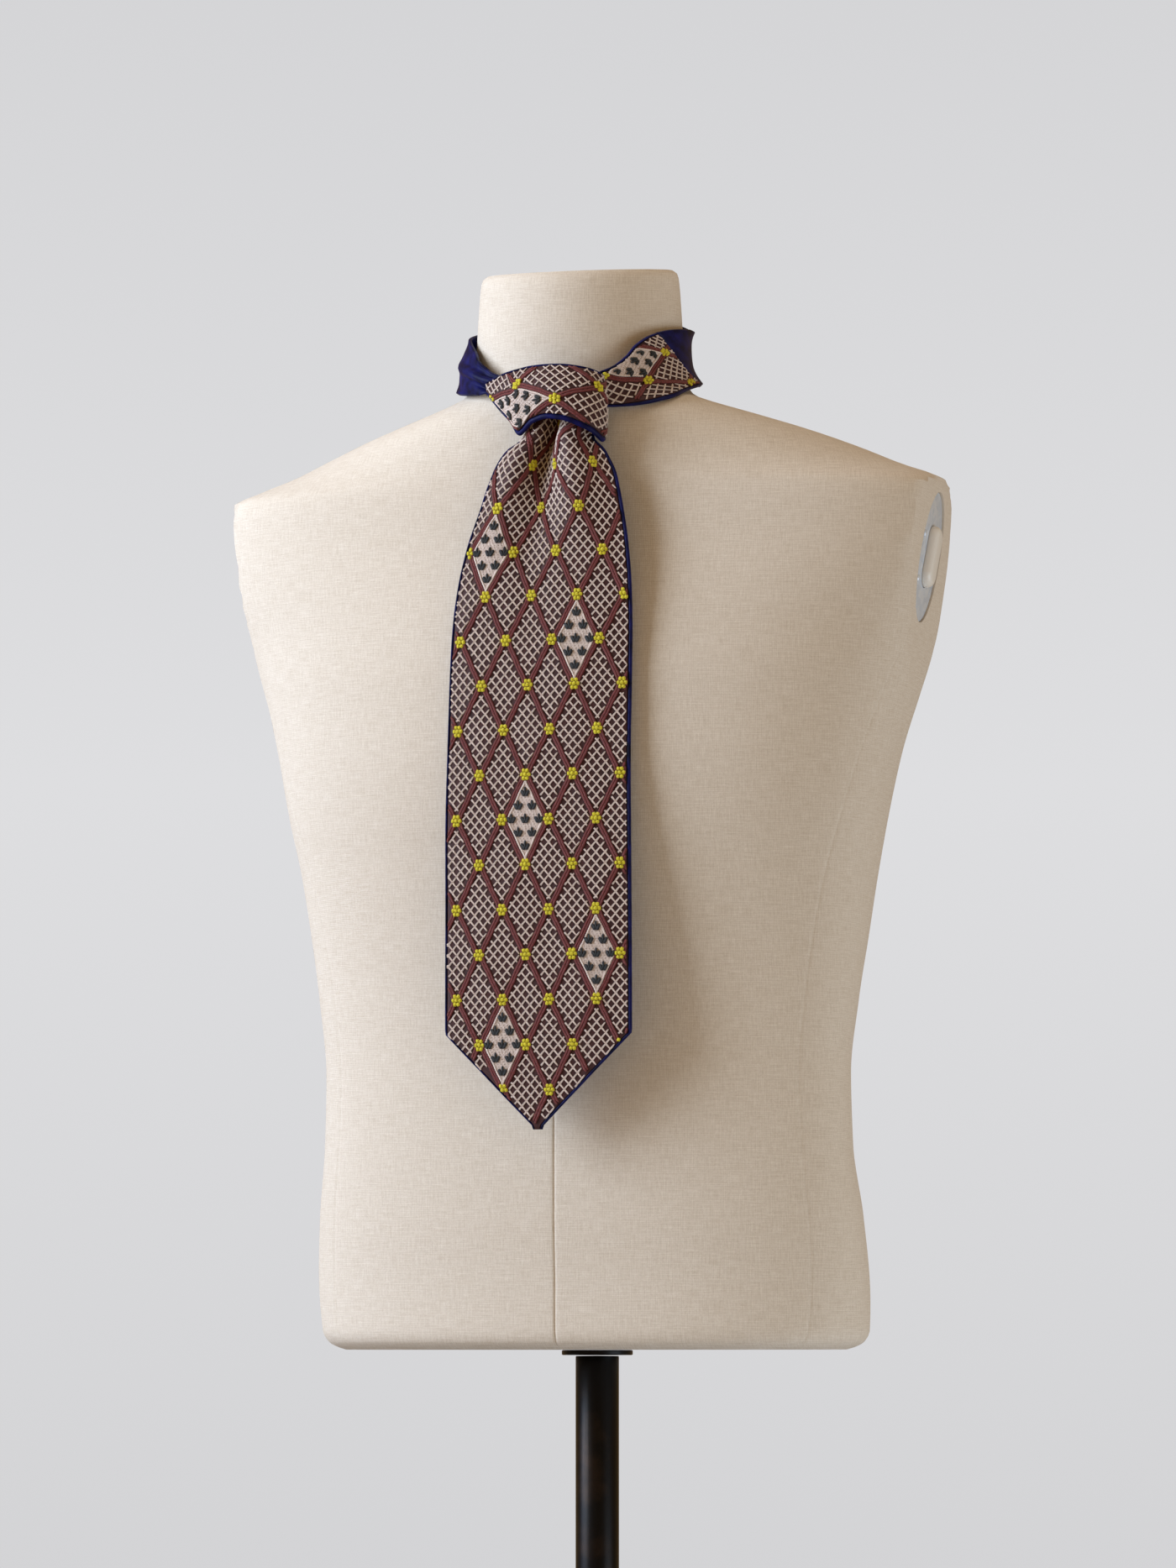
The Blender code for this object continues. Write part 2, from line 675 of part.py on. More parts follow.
def main():
    clear_scene()
    form = group("dress_form")
    cloth = group("cravat")
    stand(form)
    dress_form(form)
    blade(cloth)
    tail(cloth)
    knot(cloth)
    neck(cloth)


main()
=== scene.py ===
# An embroidered cravat in a four-in-hand knot, on a limbless linen dress form with a pole and a round base.
# Metres, +Z up. The form faces -Y. Cloth pieces are drawn on their own cut, u across and v along, in millimetres.
import math
import random

import bmesh
import bpy
import numpy as np
from mathutils import Matrix, Vector


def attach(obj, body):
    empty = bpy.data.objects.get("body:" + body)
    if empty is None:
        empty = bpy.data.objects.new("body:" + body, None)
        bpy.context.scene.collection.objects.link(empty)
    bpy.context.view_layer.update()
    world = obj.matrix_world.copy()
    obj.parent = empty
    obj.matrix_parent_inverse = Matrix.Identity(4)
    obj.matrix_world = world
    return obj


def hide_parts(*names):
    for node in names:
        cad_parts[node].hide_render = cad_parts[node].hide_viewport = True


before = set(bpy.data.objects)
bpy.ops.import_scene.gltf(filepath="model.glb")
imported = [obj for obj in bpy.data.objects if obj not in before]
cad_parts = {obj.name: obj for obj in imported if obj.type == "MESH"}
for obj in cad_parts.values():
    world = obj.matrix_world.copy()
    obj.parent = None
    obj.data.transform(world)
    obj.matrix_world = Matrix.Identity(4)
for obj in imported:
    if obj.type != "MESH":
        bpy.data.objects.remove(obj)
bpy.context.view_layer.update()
random.seed(7)
mm = 0.001


def linked(name, data):
    made = bpy.data.objects.new(name, data)
    bpy.context.scene.collection.objects.link(made)
    return made


def toLinear(hexColour):
    parts = [int(hexColour[i : i + 2], 16) / 255 for i in (1, 3, 5)]
    return (*[c / 12.92 if c <= 0.04045 else ((c + 0.055) / 1.055) ** 2.4 for c in parts], 1)


def addNode(tree, kind, links=None, **settings):
    node = tree.nodes.new("ShaderNode" + kind)
    for name, value in settings.items():
        setattr(node, name, value)
    for socket, value in (links or {}).items():
        if isinstance(value, bpy.types.NodeSocket):
            tree.links.new(value, node.inputs[socket])
        else:
            node.inputs[socket].default_value = value
    return node


def newMaterial(name, colour=None, **sockets):
    material = bpy.data.materials.new(name)
    material.use_nodes = True
    inputs = material.node_tree.nodes["Principled BSDF"].inputs
    for socket, value in sockets.items():
        inputs[socket.replace("_", " ")].default_value = value
    if colour:
        inputs["Base Color"].default_value = toLinear(colour)
    return material, material.node_tree


def wired(material, **outputs):
    tree = material.node_tree
    for socket, output in outputs.items():
        tree.links.new(output, tree.nodes["Principled BSDF"].inputs[socket.replace("_", " ")])
    return material


def rampBetween(tree, factor, stops):
    ramp = addNode(tree, "ValToRGB", {"Fac": factor})
    elements = ramp.color_ramp.elements
    while len(elements) < len(stops):
        elements.new(0.5)
    for element, (place, colour) in zip(elements, stops):
        element.position = place
        element.color = toLinear(colour)
    return ramp.outputs["Color"]


# Plain-woven linen, 0.8 mm between threads, with slubs: thick and thin stretches of yarn that catch the light
def linenWeave():
    look = {"threadMm": 0.8, "light": "#ece3d5", "dark": "#d2c5b3", "gap": "#b6a794", "relief": 0.4}
    sheen = {"Sheen_Weight": 0.08, "Sheen_Roughness": 0.6}
    material, tree = newMaterial("unbleached linen, plain woven", Roughness=0.94, **sheen)
    uv = addNode(tree, "TexCoord").outputs["UV"]
    yarns = []
    for scale, seed in (((1.3, 0.11, 1), 0), ((0.08, 1.2, 1), 40), ((0.85, 0.85, 1), 90)):
        drawn = addNode(tree, "Mapping", {"Vector": uv, "Scale": scale, "Location": (seed, seed, 0)})
        noise = addNode(tree, "TexNoise", {"Vector": drawn.outputs[0], "Scale": 1.0, "Detail": 3.0})
        yarns.append(noise.outputs[0])
    slubs = addNode(tree, "Mix", {"Factor": 0.5, "A": yarns[0], "B": yarns[1]})
    slubs = addNode(tree, "Mix", {"Factor": 0.3, "A": slubs.outputs[0], "B": yarns[2]})
    colour = rampBetween(tree, slubs.outputs[0], [(0.36, look["dark"]), (0.64, look["light"])])
    pitch = 0.31416 / look["threadMm"]
    warp = addNode(tree, "TexWave", {"Vector": uv, "Scale": pitch}, bands_direction="X")
    weft = addNode(tree, "TexWave", {"Vector": uv, "Scale": pitch}, bands_direction="Y")
    weave = addNode(tree, "Math", {0: warp.outputs["Fac"], 1: weft.outputs["Fac"]}, operation="MULTIPLY")
    opening = addNode(tree, "MapRange", {"Value": weave.outputs[0], "From Max": 0.35, "To Min": 0.3, "To Max": 0.0})
    threads = {"Factor": opening.outputs[0], "A": colour, "B": toLinear(look["gap"])}
    woven = addNode(tree, "Mix", threads, data_type="RGBA")
    raised = addNode(tree, "Math", {0: weave.outputs[0], 1: 0.5, 2: slubs.outputs[0]}, operation="MULTIPLY_ADD")
    bump = addNode(tree, "Bump", {"Height": raised.outputs[0], "Strength": look["relief"], "Distance": 0.0004})
    return wired(material, Normal=bump.outputs[0], Base_Color=woven.outputs["Result"])


# Silk satin in navy, woven with long floats that give a soft band of light along each fold
def navySatin():
    look = {"floatMm": 0.5, "light": "#191c5c", "dark": "#060822"}
    material, tree = newMaterial("navy silk satin", Roughness=0.45, Specular_IOR_Level=0.1)
    uv = addNode(tree, "TexCoord").outputs["UV"]
    bias = addNode(tree, "Mapping", {"Vector": uv, "Rotation": (0, 0, 0.9)})
    floats = addNode(tree, "TexWave", {"Vector": bias.outputs[0], "Scale": 0.314 / look["floatMm"]})
    cloudy = addNode(tree, "TexNoise", {"Vector": uv, "Scale": 0.12, "Detail": 4.0})
    colour = rampBetween(tree, cloudy.outputs[0], [(0.3, look["dark"]), (0.7, look["light"])])
    bump = addNode(tree, "Bump", {"Height": floats.outputs["Fac"], "Strength": 0.12, "Distance": 0.0002})
    return wired(material, Normal=bump.outputs[0], Base_Color=colour)


# A ground closely filled with long and short stitches of stranded cotton, each 0.55 mm wide and 4.5 mm long
def stitchedGround(name, light, dark, gap):
    stitch = {"widthMm": 0.55, "lengthMm": 4.5}
    material, tree = newMaterial(name, Roughness=0.66, Sheen_Weight=0.06, Sheen_Roughness=0.4)
    uv = addNode(tree, "TexCoord").outputs["UV"]
    turned = addNode(tree, "Mapping", {"Vector": uv, "Rotation": (0, 0, math.radians(84))})
    rows = addNode(
        tree,
        "TexBrick",
        {
            "Vector": turned.outputs[0],
            "Color1": toLinear(light),
            "Color2": toLinear(dark),
            "Mortar": toLinear(gap),
            "Scale": 1.0,
            "Mortar Size": 0.07,
            "Mortar Smooth": 0.6,
            "Brick Width": stitch["lengthMm"],
            "Row Height": stitch["widthMm"],
        },
        offset=0.37,
        offset_frequency=3,
    )
    bump = addNode(tree, "Bump", {"Height": rows.outputs["Fac"], "Strength": 0.6, "Distance": 0.0004}, invert=True)
    return wired(material, Normal=bump.outputs[0], Base_Color=rows.outputs["Color"])


# Stranded cotton thread: a soft lustre, and fine strands that run along each stitch
def cottonThread(name, light, dark):
    material, tree = newMaterial(name, Roughness=0.6, Sheen_Weight=0.1, Sheen_Roughness=0.4)
    uv = addNode(tree, "TexCoord").outputs["UV"]
    strands = addNode(tree, "TexWave", {"Vector": uv, "Scale": 2.2, "Distortion": 1.5}, bands_direction="DIAGONAL")
    shade = addNode(tree, "TexNoise", {"Vector": uv, "Scale": 0.7, "Detail": 2.0})
    colour = rampBetween(tree, shade.outputs[0], [(0.3, dark), (0.65, light)])
    bump = addNode(tree, "Bump", {"Height": strands.outputs["Fac"], "Strength": 0.5, "Distance": 0.0002})
    return wired(material, Normal=bump.outputs[0], Base_Color=colour)


# Steel dipped in molten zinc: cool grey with faint crystals
def dippedZinc():
    material, tree = newMaterial("zinc-dipped steel", Metallic=0.3)
    place = addNode(tree, "TexCoord").outputs["Object"]
    crystals = addNode(tree, "TexVoronoi", {"Vector": place, "Scale": 260.0})
    colour = rampBetween(tree, crystals.outputs["Color"], [(0.1, "#cbd8e8"), (0.9, "#e0e9f3")])
    rough = addNode(tree, "MapRange", {"Value": crystals.outputs["Distance"], "To Min": 0.36, "To Max": 0.5})
    return wired(material, Base_Color=colour, Roughness=rough.outputs[0])


# Steel tube drawn along its length and lacquered dark bronze: fine lines, thin spots that show brown
def bronzeLacquer():
    material, tree = newMaterial("bronze lacquer on drawn steel", Metallic=0.75)
    place = addNode(tree, "TexCoord").outputs["Object"]
    drawn = addNode(tree, "Mapping", {"Vector": place, "Scale": (900.0, 900.0, 12.0)})
    lines = addNode(tree, "TexNoise", {"Vector": drawn.outputs[0], "Scale": 1.0, "Detail": 3.0})
    worn = addNode(tree, "TexNoise", {"Vector": place, "Scale": 38.0, "Detail": 5.0})
    colour = rampBetween(tree, worn.outputs[0], [(0.5, "#141314"), (0.8, "#35281f")])
    rough = addNode(tree, "MapRange", {"Value": lines.outputs[0], "To Min": 0.24, "To Max": 0.46})
    bump = addNode(tree, "Bump", {"Height": lines.outputs[0], "Strength": 0.08, "Distance": 0.0002})
    return wired(material, Base_Color=colour, Roughness=rough.outputs[0], Normal=bump.outputs[0])


finish = {
    "linen": linenWeave(),
    "satin": navySatin(),
    "ground": stitchedGround("maroon long and short stitch", "#4a1512", "#350c0a", "#150403"),
    "maroon": cottonThread("maroon stranded cotton", "#7c2f2c", "#5a1c19"),
    "cream": cottonThread("cream stranded cotton", "#ecdbd1", "#dac8bd"),
    "yellow": cottonThread("yellow stranded cotton", "#e6da2c", "#c8ba18"),
    "black": cottonThread("black stranded cotton", "#1b1e21", "#0d0f11"),
    "zinc": dippedZinc(),
    "nylon": newMaterial("moulded white nylon", "#e9e6df", Roughness=0.32)[0],  # smooth, with a soft shine
    "bronze": bronzeLacquer(),
    "floor": newMaterial("matt painted floor", "#d6d7d9", Roughness=0.85)[0],  # rolled on, flat and even
}
print("materials made")


# Smooth tables: named columns against the first one, in millimetres where no other unit is given
class Table:
    def __init__(self, columns, rows, keyUnit=mm, unit=mm):
        self.names = columns.split()
        rows = np.array(rows, float) * ([keyUnit] + [unit] * (len(self.names) - 1))
        rows = rows[np.argsort(rows[:, 0])]
        self.keys, self.values = rows[:, 0], rows
        steps = np.diff(rows, axis=0) / np.diff(self.keys)[:, None]
        before, after = steps[:-1], steps[1:]
        sameWay = before * after > 0
        inner = np.where(sameWay, 2 * before * after / np.where(sameWay, before + after, 1), 0)
        self.slopes = np.vstack([steps[:1], inner, steps[-1:]])

    def at(self, key):
        key = min(max(key, self.keys[0]), self.keys[-1])
        i = max(min(int(np.searchsorted(self.keys, key, "right")), len(self.keys) - 1) - 1, 0)
        span = self.keys[i + 1] - self.keys[i]
        s = (key - self.keys[i]) / span
        value = (1 + 2 * s) * (1 - s) ** 2 * self.values[i] + s * s * (3 - 2 * s) * self.values[i + 1]
        value += s * (1 - s) ** 2 * span * self.slopes[i] + s * s * (s - 1) * span * self.slopes[i + 1]
        return dict(zip(self.names, value))


formSections = Table(
    "z halfWidth front back widest",
    [
        (207, 151, -79, 72, -5),
        (209, 157, -85, 80, -5),
        (212, 161.5, -88.5, 84, -5.5),
        (218, 164.6, -90, 85.5, -6.7),
        (243, 165.7, -90, 87, -11.6),
        (285, 163.3, -92, 84, -18.9),
        (327, 158.7, -92, 77, -25.2),
        (369, 157.8, -93, 71, -25.1),
        (411, 162.2, -96, 71, -22.9),
        (453, 168.2, -102, 76, -19.9),
        (487, 173.3, -108, 82, -20.4),
        (523, 180.2, -114, 88, -23.5),
        (559, 187.4, -117, 93, -19.9),
        (592, 196.7, -117, 96, -12.9),
        (625, 209, -114, 97, -10.3),
        (653, 220.8, -109, 95, -16.7),
        (680, 228, -104, 91, -19.4),
        (701, 229, -101.5, 87, -20),
        (710.5, 225, -100, 84, -20),
        (718, 213, -99.2, 81, -2),
        (727, 188.5, -98.4, 77, 2),
        (737, 165, -97.8, 72, 0),
        (746.6, 139, -97.4, 66, -8),
        (756, 109, -97, 57, -18),
        (761.5, 90, -96.8, 50, -26),
        (767, 72.5, -96.8, 43, -34.5),
        (773, 65, -96.8, 37, -36.5),
        (782, 62.3, -97, 29.5, -37),
        (800, 61.2, -97.5, 25.5, -37),
        (818, 60, -97, 23.5, -37),
        (830, 59, -96, 22, -37),
        (835.5, 58, -94.5, 20.5, -37),
        (838, 55, -91.5, 17, -37),
    ],
)
formSquareness = Table(
    "z power",
    [(207, 2.3), (420, 2.35), (520, 2.45), (590, 2.5), (650, 2.35), (700, 2.28), (745, 2.15), (770, 2), (838, 2)],
    unit=1,
)
bladeShape = Table(
    "z centreX halfWidth y rightFold dimple leftFold edgeBack",
    [
        (753.8, 11.9, 16.6, -113.2, 3, 8, 3.5, 4),
        (741.5, 10.5, 19.5, -115.2, 5, 10.8, 6, 4.8),
        (733.3, 8.5, 21.9, -116.6, 6.4, 12.3, 8, 5.4),
        (730.2, 8.3, 25.1, -117.1, 6.8, 11.9, 8.1, 5.3),
        (727.2, 7.8, 29, -117.6, 7, 11.5, 8.2, 5.2),
        (721.1, 7.3, 33.1, -118.2, 7, 10.8, 8, 5.1),
        (714.9, 7.3, 36.3, -118.8, 6.6, 9.8, 7.5, 5),
        (704.8, 6.7, 39.7, -119.6, 5.6, 7.8, 6.1, 4.6),
        (694.6, 6.1, 42.5, -120.3, 4.4, 5.8, 4.6, 4.4),
        (671.3, 4.1, 48.5, -121.8, 2.5, 3, 2, 3.8),
        (646, 2.5, 52.5, -123.2, 0.8, 1, 0.4, 3.4),
        (621.7, 1.5, 54.3, -124.2, 0.2, 0.3, 0.1, 3.1),
        (595.5, 0.8, 54.9, -124.9, 0, 0, 0, 3),
        (548.3, -0.2, 55.2, -125, 0, 0, 0, 3),
        (499.2, -0.8, 55.9, -124.4, 0, 0, 0, 2.8),
        (388.4, -1, 56.1, -122.2, 0, 0, 0, 2.4),
        (331.8, -1.1, 56.1, -120.4, 0, 0, 0, 2.2),
    ],
)
tailShape = Table(
    "z centreX halfWidth y",
    [
        (751.8, 10, 13, -100.8),
        (733.3, 9, 14.5, -101.8),
        (717, 9, 15.5, -104),
        (696.6, 8, 17, -107.2),
        (649, 6, 20, -113.2),
        (620.7, 5, 21.5, -116.4),
        (587.5, 4, 22.5, -119.2),
        (554.3, 3, 23, -119.8),
        (495.2, 2, 23.5, -119),
        (418.3, 2, 24, -117.8),
    ],
)
wrapShape = Table(
    "along topX topY topZ lowX lowY lowZ bulge",
    [
        (0, -37.1, -102.8, 771, -36.1, -102.2, 762.9, 0.5),
        (12, -28.3, -108, 773.4, -25.7, -110, 751.4, 1.5),
        (20, -19.7, -112.5, 775.2, -17, -115, 742.6, 2.5),
        (25, -14.7, -114.5, 775.8, -12.7, -117.5, 736.4, 3.2),
        (33, -6.2, -117, 776.7, -3.7, -123, 742.5, 3.5),
        (43, 3.9, -118.6, 777, 5.9, -127, 744.4, 3.5),
        (51, 11.4, -118.8, 776.8, 13.9, -127.6, 743.4, 3.5),
        (62, 22.5, -116.6, 775.5, 25, -125, 739.3, 3.2),
        (71, 29, -112.3, 773.9, 31.4, -119.5, 735.6, 2.6),
        (80, 32.4, -106.8, 772.1, 34, -111, 732, 2),
        (86, 32.4, -104.2, 771.5, 33, -104.5, 733.2, 1.6),
    ],
)
bandShape = Table(
    "angle lowZ highZ lowR middleR highR",
    [
        (25, 753.8, 774.7, 70.5, 70.2, 70),
        (31, 753.9, 777.9, 71, 70.2, 69.2),
        (39, 754.7, 784.9, 71, 69.5, 67.5),
        (45, 756, 792.5, 70.8, 68.3, 66.7),
        (55, 759.7, 799.3, 70.7, 66.6, 66),
        (70, 766.1, 804, 71, 65, 66.4),
        (90, 772.8, 807, 71.8, 63.8, 67.2),
        (110, 778, 809.6, 72.2, 63.8, 67.2),
        (140, 788, 819, 70.5, 65, 65.8),
        (180, 793, 825, 68, 65.6, 64.6),
        (220, 789.5, 821.5, 69, 65.6, 64.6),
        (250, 781.5, 814.5, 70.5, 66, 64.4),
        (270, 775.8, 809, 71.5, 67.8, 64.2),
        (287, 771.4, 803.8, 71.8, 69.6, 64.6),
        (302, 768.2, 796.3, 72.5, 71, 66),
        (316, 765.9, 786.8, 71.8, 71.3, 69),
        (326, 764.4, 778.3, 70.3, 70, 69.5),
        (336, 764, 773.1, 67.6, 67.5, 67.4),
    ],
    keyUnit=1,
)
gatherFolds = Table(
    "angle depth",
    [(265, 0), (287, 1), (302, 2), (316, 2.2), (326, 1.4), (336, 0.6)],
    keyUnit=1,
)
neckCentreY = -0.037
knotCentre = (0.004, -0.104)
bandRest = {"clear": 0.0032, "softness": 0.002}


# The cloth's middle surfaces, the same as the solids'


def hump(value, centre, width):
    return math.exp(-(((value - centre) / width) ** 2))


# Each fold's place and half width across the blade, from -1 at one edge to 1 at the other
bladeFolds = {"leftFold": (0.34, 0.36), "rightFold": (-0.66, 0.30), "dimple": (-0.14, 0.28)}


def bladePoint(z, t):
    row = bladeShape.at(z)
    rise = {name: row[name] * hump(t, *fold) for name, fold in bladeFolds.items()}
    y = row["y"] + row["edgeBack"] * t * t - (rise["leftFold"] + rise["rightFold"]) + rise["dimple"]
    return Vector((row["centreX"] + row["halfWidth"] * t, y, z))


def tailPoint(z, t):
    row = tailShape.at(z)
    return Vector((row["centreX"] + row["halfWidth"] * t, row["y"] + 0.0006 * t * t, z))


def wrapPoint(along, t):
    row = wrapShape.at(along)
    top = Vector((row["topX"], row["topY"], row["topZ"]))
    low = Vector((row["lowX"], row["lowY"], row["lowZ"]))
    middle = low.lerp(top, (t + 1) / 2)
    around = Vector((middle.x - knotCentre[0], middle.y - knotCentre[1], 0)).normalized()
    return middle + around * (row["bulge"] * (1 - t * t))


def formReach(angle, z):
    section = formSections.at(z)
    power = formSquareness.at(z)["power"]
    turn = math.radians(angle)
    near, far = 0.02, 0.25
    for _ in range(18):
        radius = (near + far) / 2
        y = neckCentreY - radius * math.cos(turn) - section["widest"]
        reach = abs((section["back"] if y > 0 else section["front"]) - section["widest"])
        inside = abs(radius * math.sin(turn) / section["halfWidth"]) ** power + abs(y / reach) ** power < 1
        near, far = (radius, far) if inside else (near, radius)
    return radius


def bandPoint(angle, t):
    row = bandShape.at(angle)
    weights = (t * (t - 1) / 2, 1 - t * t, t * (t + 1) / 2)
    radius = sum(w * row[name] for w, name in zip(weights, ("lowR", "middleR", "highR")))
    radius += gatherFolds.at(angle)["depth"] * math.sin(math.pi * 1.5 * (t + 0.2)) * (1 - 0.4 * abs(t))
    height = row["lowZ"] + (row["highZ"] - row["lowZ"]) * (t + 1) / 2
    rest = formReach(angle, height) + bandRest["clear"]  # the shoulder carries the cloth where it reaches out to it
    radius = 0.5 * (radius + rest + math.sqrt((radius - rest) ** 2 + bandRest["softness"] ** 2))
    turn = math.radians(angle)
    return Vector((radius * math.sin(turn), neckCentreY - radius * math.cos(turn), height))


seam = {"lowAngle": 95, "highAngle": 58, "halfGap": 0.42, "start": 25, "gather": 336}
seamMiddle = (seam["lowAngle"] + seam["highAngle"]) / 2
seamSlant = (seam["lowAngle"] - seam["highAngle"]) / 2


def neckPoint(share, t):
    angle = seam["start"] + (seamMiddle - seam["halfGap"] - seam["start"]) * share
    return bandPoint(angle - t * seamSlant * share, t)


def plainBandPoint(share, t):
    angle = seamMiddle + seam["halfGap"] + (seam["gather"] - seamMiddle) * share
    return bandPoint(angle - t * seamSlant * max(0.0, 1 - share * 3), t)


# A cloth laid out flat: its surface as a grid, with the true millimetres across (u) and along (v)
class Cloth:
    def __init__(self, surface, stations, columns, outward=1, edgeShare=lambda along: 1.0, ripple=None):
        shares = np.linspace(-1, 1, columns)
        self.turn = outward if stations[1] > stations[0] else -outward
        self.points = np.array([[tuple(surface(a, t * edgeShare(a))) for t in shares] for a in stations])
        self.measure()
        if ripple:
            rise = np.array([[ripple(u, v) for u in row] for row, v in zip(self.across(), self.v)])
            self.points += self.facing * rise[:, :, None] * mm
            self.measure()

    def across(self):
        shares = np.linspace(0, 1, self.points.shape[1])
        return self.low[:, None] + (self.high - self.low)[:, None] * shares

    def measure(self):
        count = self.points.shape[1]
        middle = (count - 1) // 2
        along = np.linalg.norm(np.diff(self.points[:, middle], axis=0), axis=1) / mm
        self.v = np.concatenate([[0], np.cumsum(along)])
        steps = np.linalg.norm(np.diff(self.points, axis=1), axis=2) / mm
        u = np.concatenate([np.zeros((len(self.points), 1)), np.cumsum(steps, axis=1)], axis=1)
        self.low, self.high = -u[:, middle], u[:, -1] - u[:, middle]
        for i, row in enumerate(u):  # evenly spaced across, so that a place is found without a search
            even = np.linspace(0, row[-1], count)
            self.points[i] = np.stack([np.interp(even, row, self.points[i][:, k]) for k in range(3)], axis=1)
        facing = np.cross(np.gradient(self.points, axis=0), np.gradient(self.points, axis=1)) * self.turn
        self.facing = facing / np.linalg.norm(facing, axis=2, keepdims=True)

    def at(self, u, v, lift=0.0):
        u, v, lift = np.broadcast_arrays(*[np.atleast_1d(np.asarray(value, float)) for value in (u, v, lift)])
        row = np.interp(v, self.v, np.arange(len(self.v)))
        i = np.clip(row.astype(int), 0, len(self.v) - 2)
        s = row - i
        low = self.low[i] * (1 - s) + self.low[i + 1] * s
        high = self.high[i] * (1 - s) + self.high[i + 1] * s
        column = np.clip((u - low) / (high - low), 0, 1) * (self.points.shape[1] - 1)
        j = np.clip(column.astype(int), 0, self.points.shape[1] - 2)
        w, s = (column - j)[:, None], s[:, None]

        def mixed(grid):
            return (grid[i, j] * (1 - w) + grid[i, j + 1] * w) * (1 - s) + (
                grid[i + 1, j] * (1 - w) + grid[i + 1, j + 1] * w
            ) * s

        facing = mixed(self.facing)
        facing /= np.linalg.norm(facing, axis=1, keepdims=True)
        return mixed(self.points) + facing * lift[:, None] * mm, facing

    def reach(self, v):
        return np.interp(v, self.v, self.low), np.interp(v, self.v, self.high)

    def size(self):
        widths = self.high - self.low
        area = float(((widths[1:] + widths[:-1]) / 2 * np.diff(self.v)).sum()) * mm * mm
        return (float(widths.max()) * mm, float(self.v[-1]) * mm), area


def finished(name, shape, material):
    mesh = bpy.data.meshes.new(name)
    shape.to_mesh(mesh)
    shape.free()
    mesh.shade_smooth()
    mesh.materials.append(material)
    made = linked(name, mesh)
    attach(made, "root")
    return made


def standsFor(piece, node):
    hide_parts(node)
    return piece


# A grid whose points are put in place one by one; a closed one joins its last column to its first and fills its ends
def placedGrid(rows, columns, place, closed=False):
    shape = bmesh.new()
    bmesh.ops.create_grid(shape, x_segments=columns - 1, y_segments=rows - 1, size=0.5)
    layer = shape.loops.layers.uv.new("cut")
    cuts = {}
    for vert in shape.verts:
        column = round((vert.co.x + 0.5) * (columns - 1))
        row = round((vert.co.y + 0.5) * (rows - 1))
        vert.co, cuts[vert] = place(row, column)
    for face in shape.faces:
        for loop in face.loops:
            loop[layer].uv = cuts[loop.vert]
    if closed:
        bmesh.ops.remove_doubles(shape, verts=shape.verts, dist=1e-7)
        ends = bmesh.ops.holes_fill(shape, edges=[e for e in shape.edges if e.is_boundary], sides=0)["faces"]
        for loop in (loop for face in ends for loop in face.loops):
            loop[layer].uv = loop.vert.co.xy / mm
    bmesh.ops.recalc_face_normals(shape, faces=shape.faces)
    return shape


# A wall of cloth: loopAt(i) gives the points (u, out) round the wall at station i
def clothWall(name, cloth, loopAt, material):
    loops = [np.array(loopAt(i)) for i in range(len(cloth.v))]
    rings = [cloth.at(loop[:, 0], cloth.v[i], loop[:, 1])[0] for i, loop in enumerate(loops)]

    def place(row, column):
        k = column % len(rings[row])
        return Vector(rings[row][k]), (loops[row][k][0], cloth.v[row])

    return finished(name, placedGrid(len(loops), len(loops[0]) + 1, place, closed=True), material)


# The embroidered face: a thin wall with softly rounded edges
def faceLoop(low, high, front, back, columns):
    hem = min(0.5, (high - low) * 0.2)
    us = np.linspace(low + hem, high - hem, columns)
    edges = [(low + hem * 0.3, front - 0.3)], [(high - hem * 0.3, front - 0.3), (high, back)]
    return edges[0] + [(u, front) for u in us] + edges[1] + [(u, back) for u in us[::-1]] + [(low, back)]


# The lining: a thin wall whose edges roll forwards round a cord of cloth, the piping
def liningLoop(low, high, widths, front, back, columns):
    thick = 0.95
    rolls = []
    for side, edge, width in ((-1, low, widths[0]), (1, high, widths[1])):
        roll = []
        for k in range(7):
            angle = math.pi * (k / 6 - 0.5)
            outwards = width * 0.5 * (1 - math.cos(angle))
            roll.append((edge - side * outwards, (front + back) / 2 + (front - back) / 2 * math.sin(angle)))
        roll += [(edge - side * width * 0.86, front - 0.3), (edge - side * width, front - 1.0)]
        roll += [(edge - side * width, back + thick)]
        rolls.append(roll)
    inner = np.linspace(low + widths[0] * 1.3, high - widths[1] * 1.3, columns)
    top = [(u, back + thick) for u in inner]
    under = [(u, back) for u in inner[::-1]]
    return rolls[0] + top + rolls[1][::-1] + under


layers = {"faceFront": 1.55, "faceBack": 0.15, "liningBack": -1.15, "pipingFront": 1.75}
piping = {"blade": (1.5, 2.1), "wrap": (3.0, 1.2), "neck": (1.3, 1.3)}  # the two edges' rolls, as they show
faceTop = layers["faceFront"]
bladeEnds = {"top": 0.753, "shoulder": 0.3884, "tip": 0.3318, "step": 0.0025}
tailEnds = {"top": 0.7518, "shoulder": 0.442, "tip": 0.418, "step": 0.003}


# A strip hangs from its top and narrows from its shoulders to a blunt tip
def hungStrip(surface, ends, columns, ripple=None):
    def share(z):
        return max(0.05, min(1.0, (z - ends["tip"]) / (ends["shoulder"] - ends["tip"])))

    stations = [ends["top"] - ends["step"] * k for k in range(int((ends["top"] - ends["tip"]) / ends["step"]) + 1)]
    return Cloth(surface, stations, columns, outward=-1, edgeShare=share, ripple=ripple)


# The plain band is pinched into small folds where it runs in behind the knot
def bandRipple(u, v):
    return 1.0 * math.sin(u * 0.72 + 0.5) * hump(v, 286, 26) + 0.5 * math.sin(u * 1.35 - 0.6) * hump(v, 301, 13)


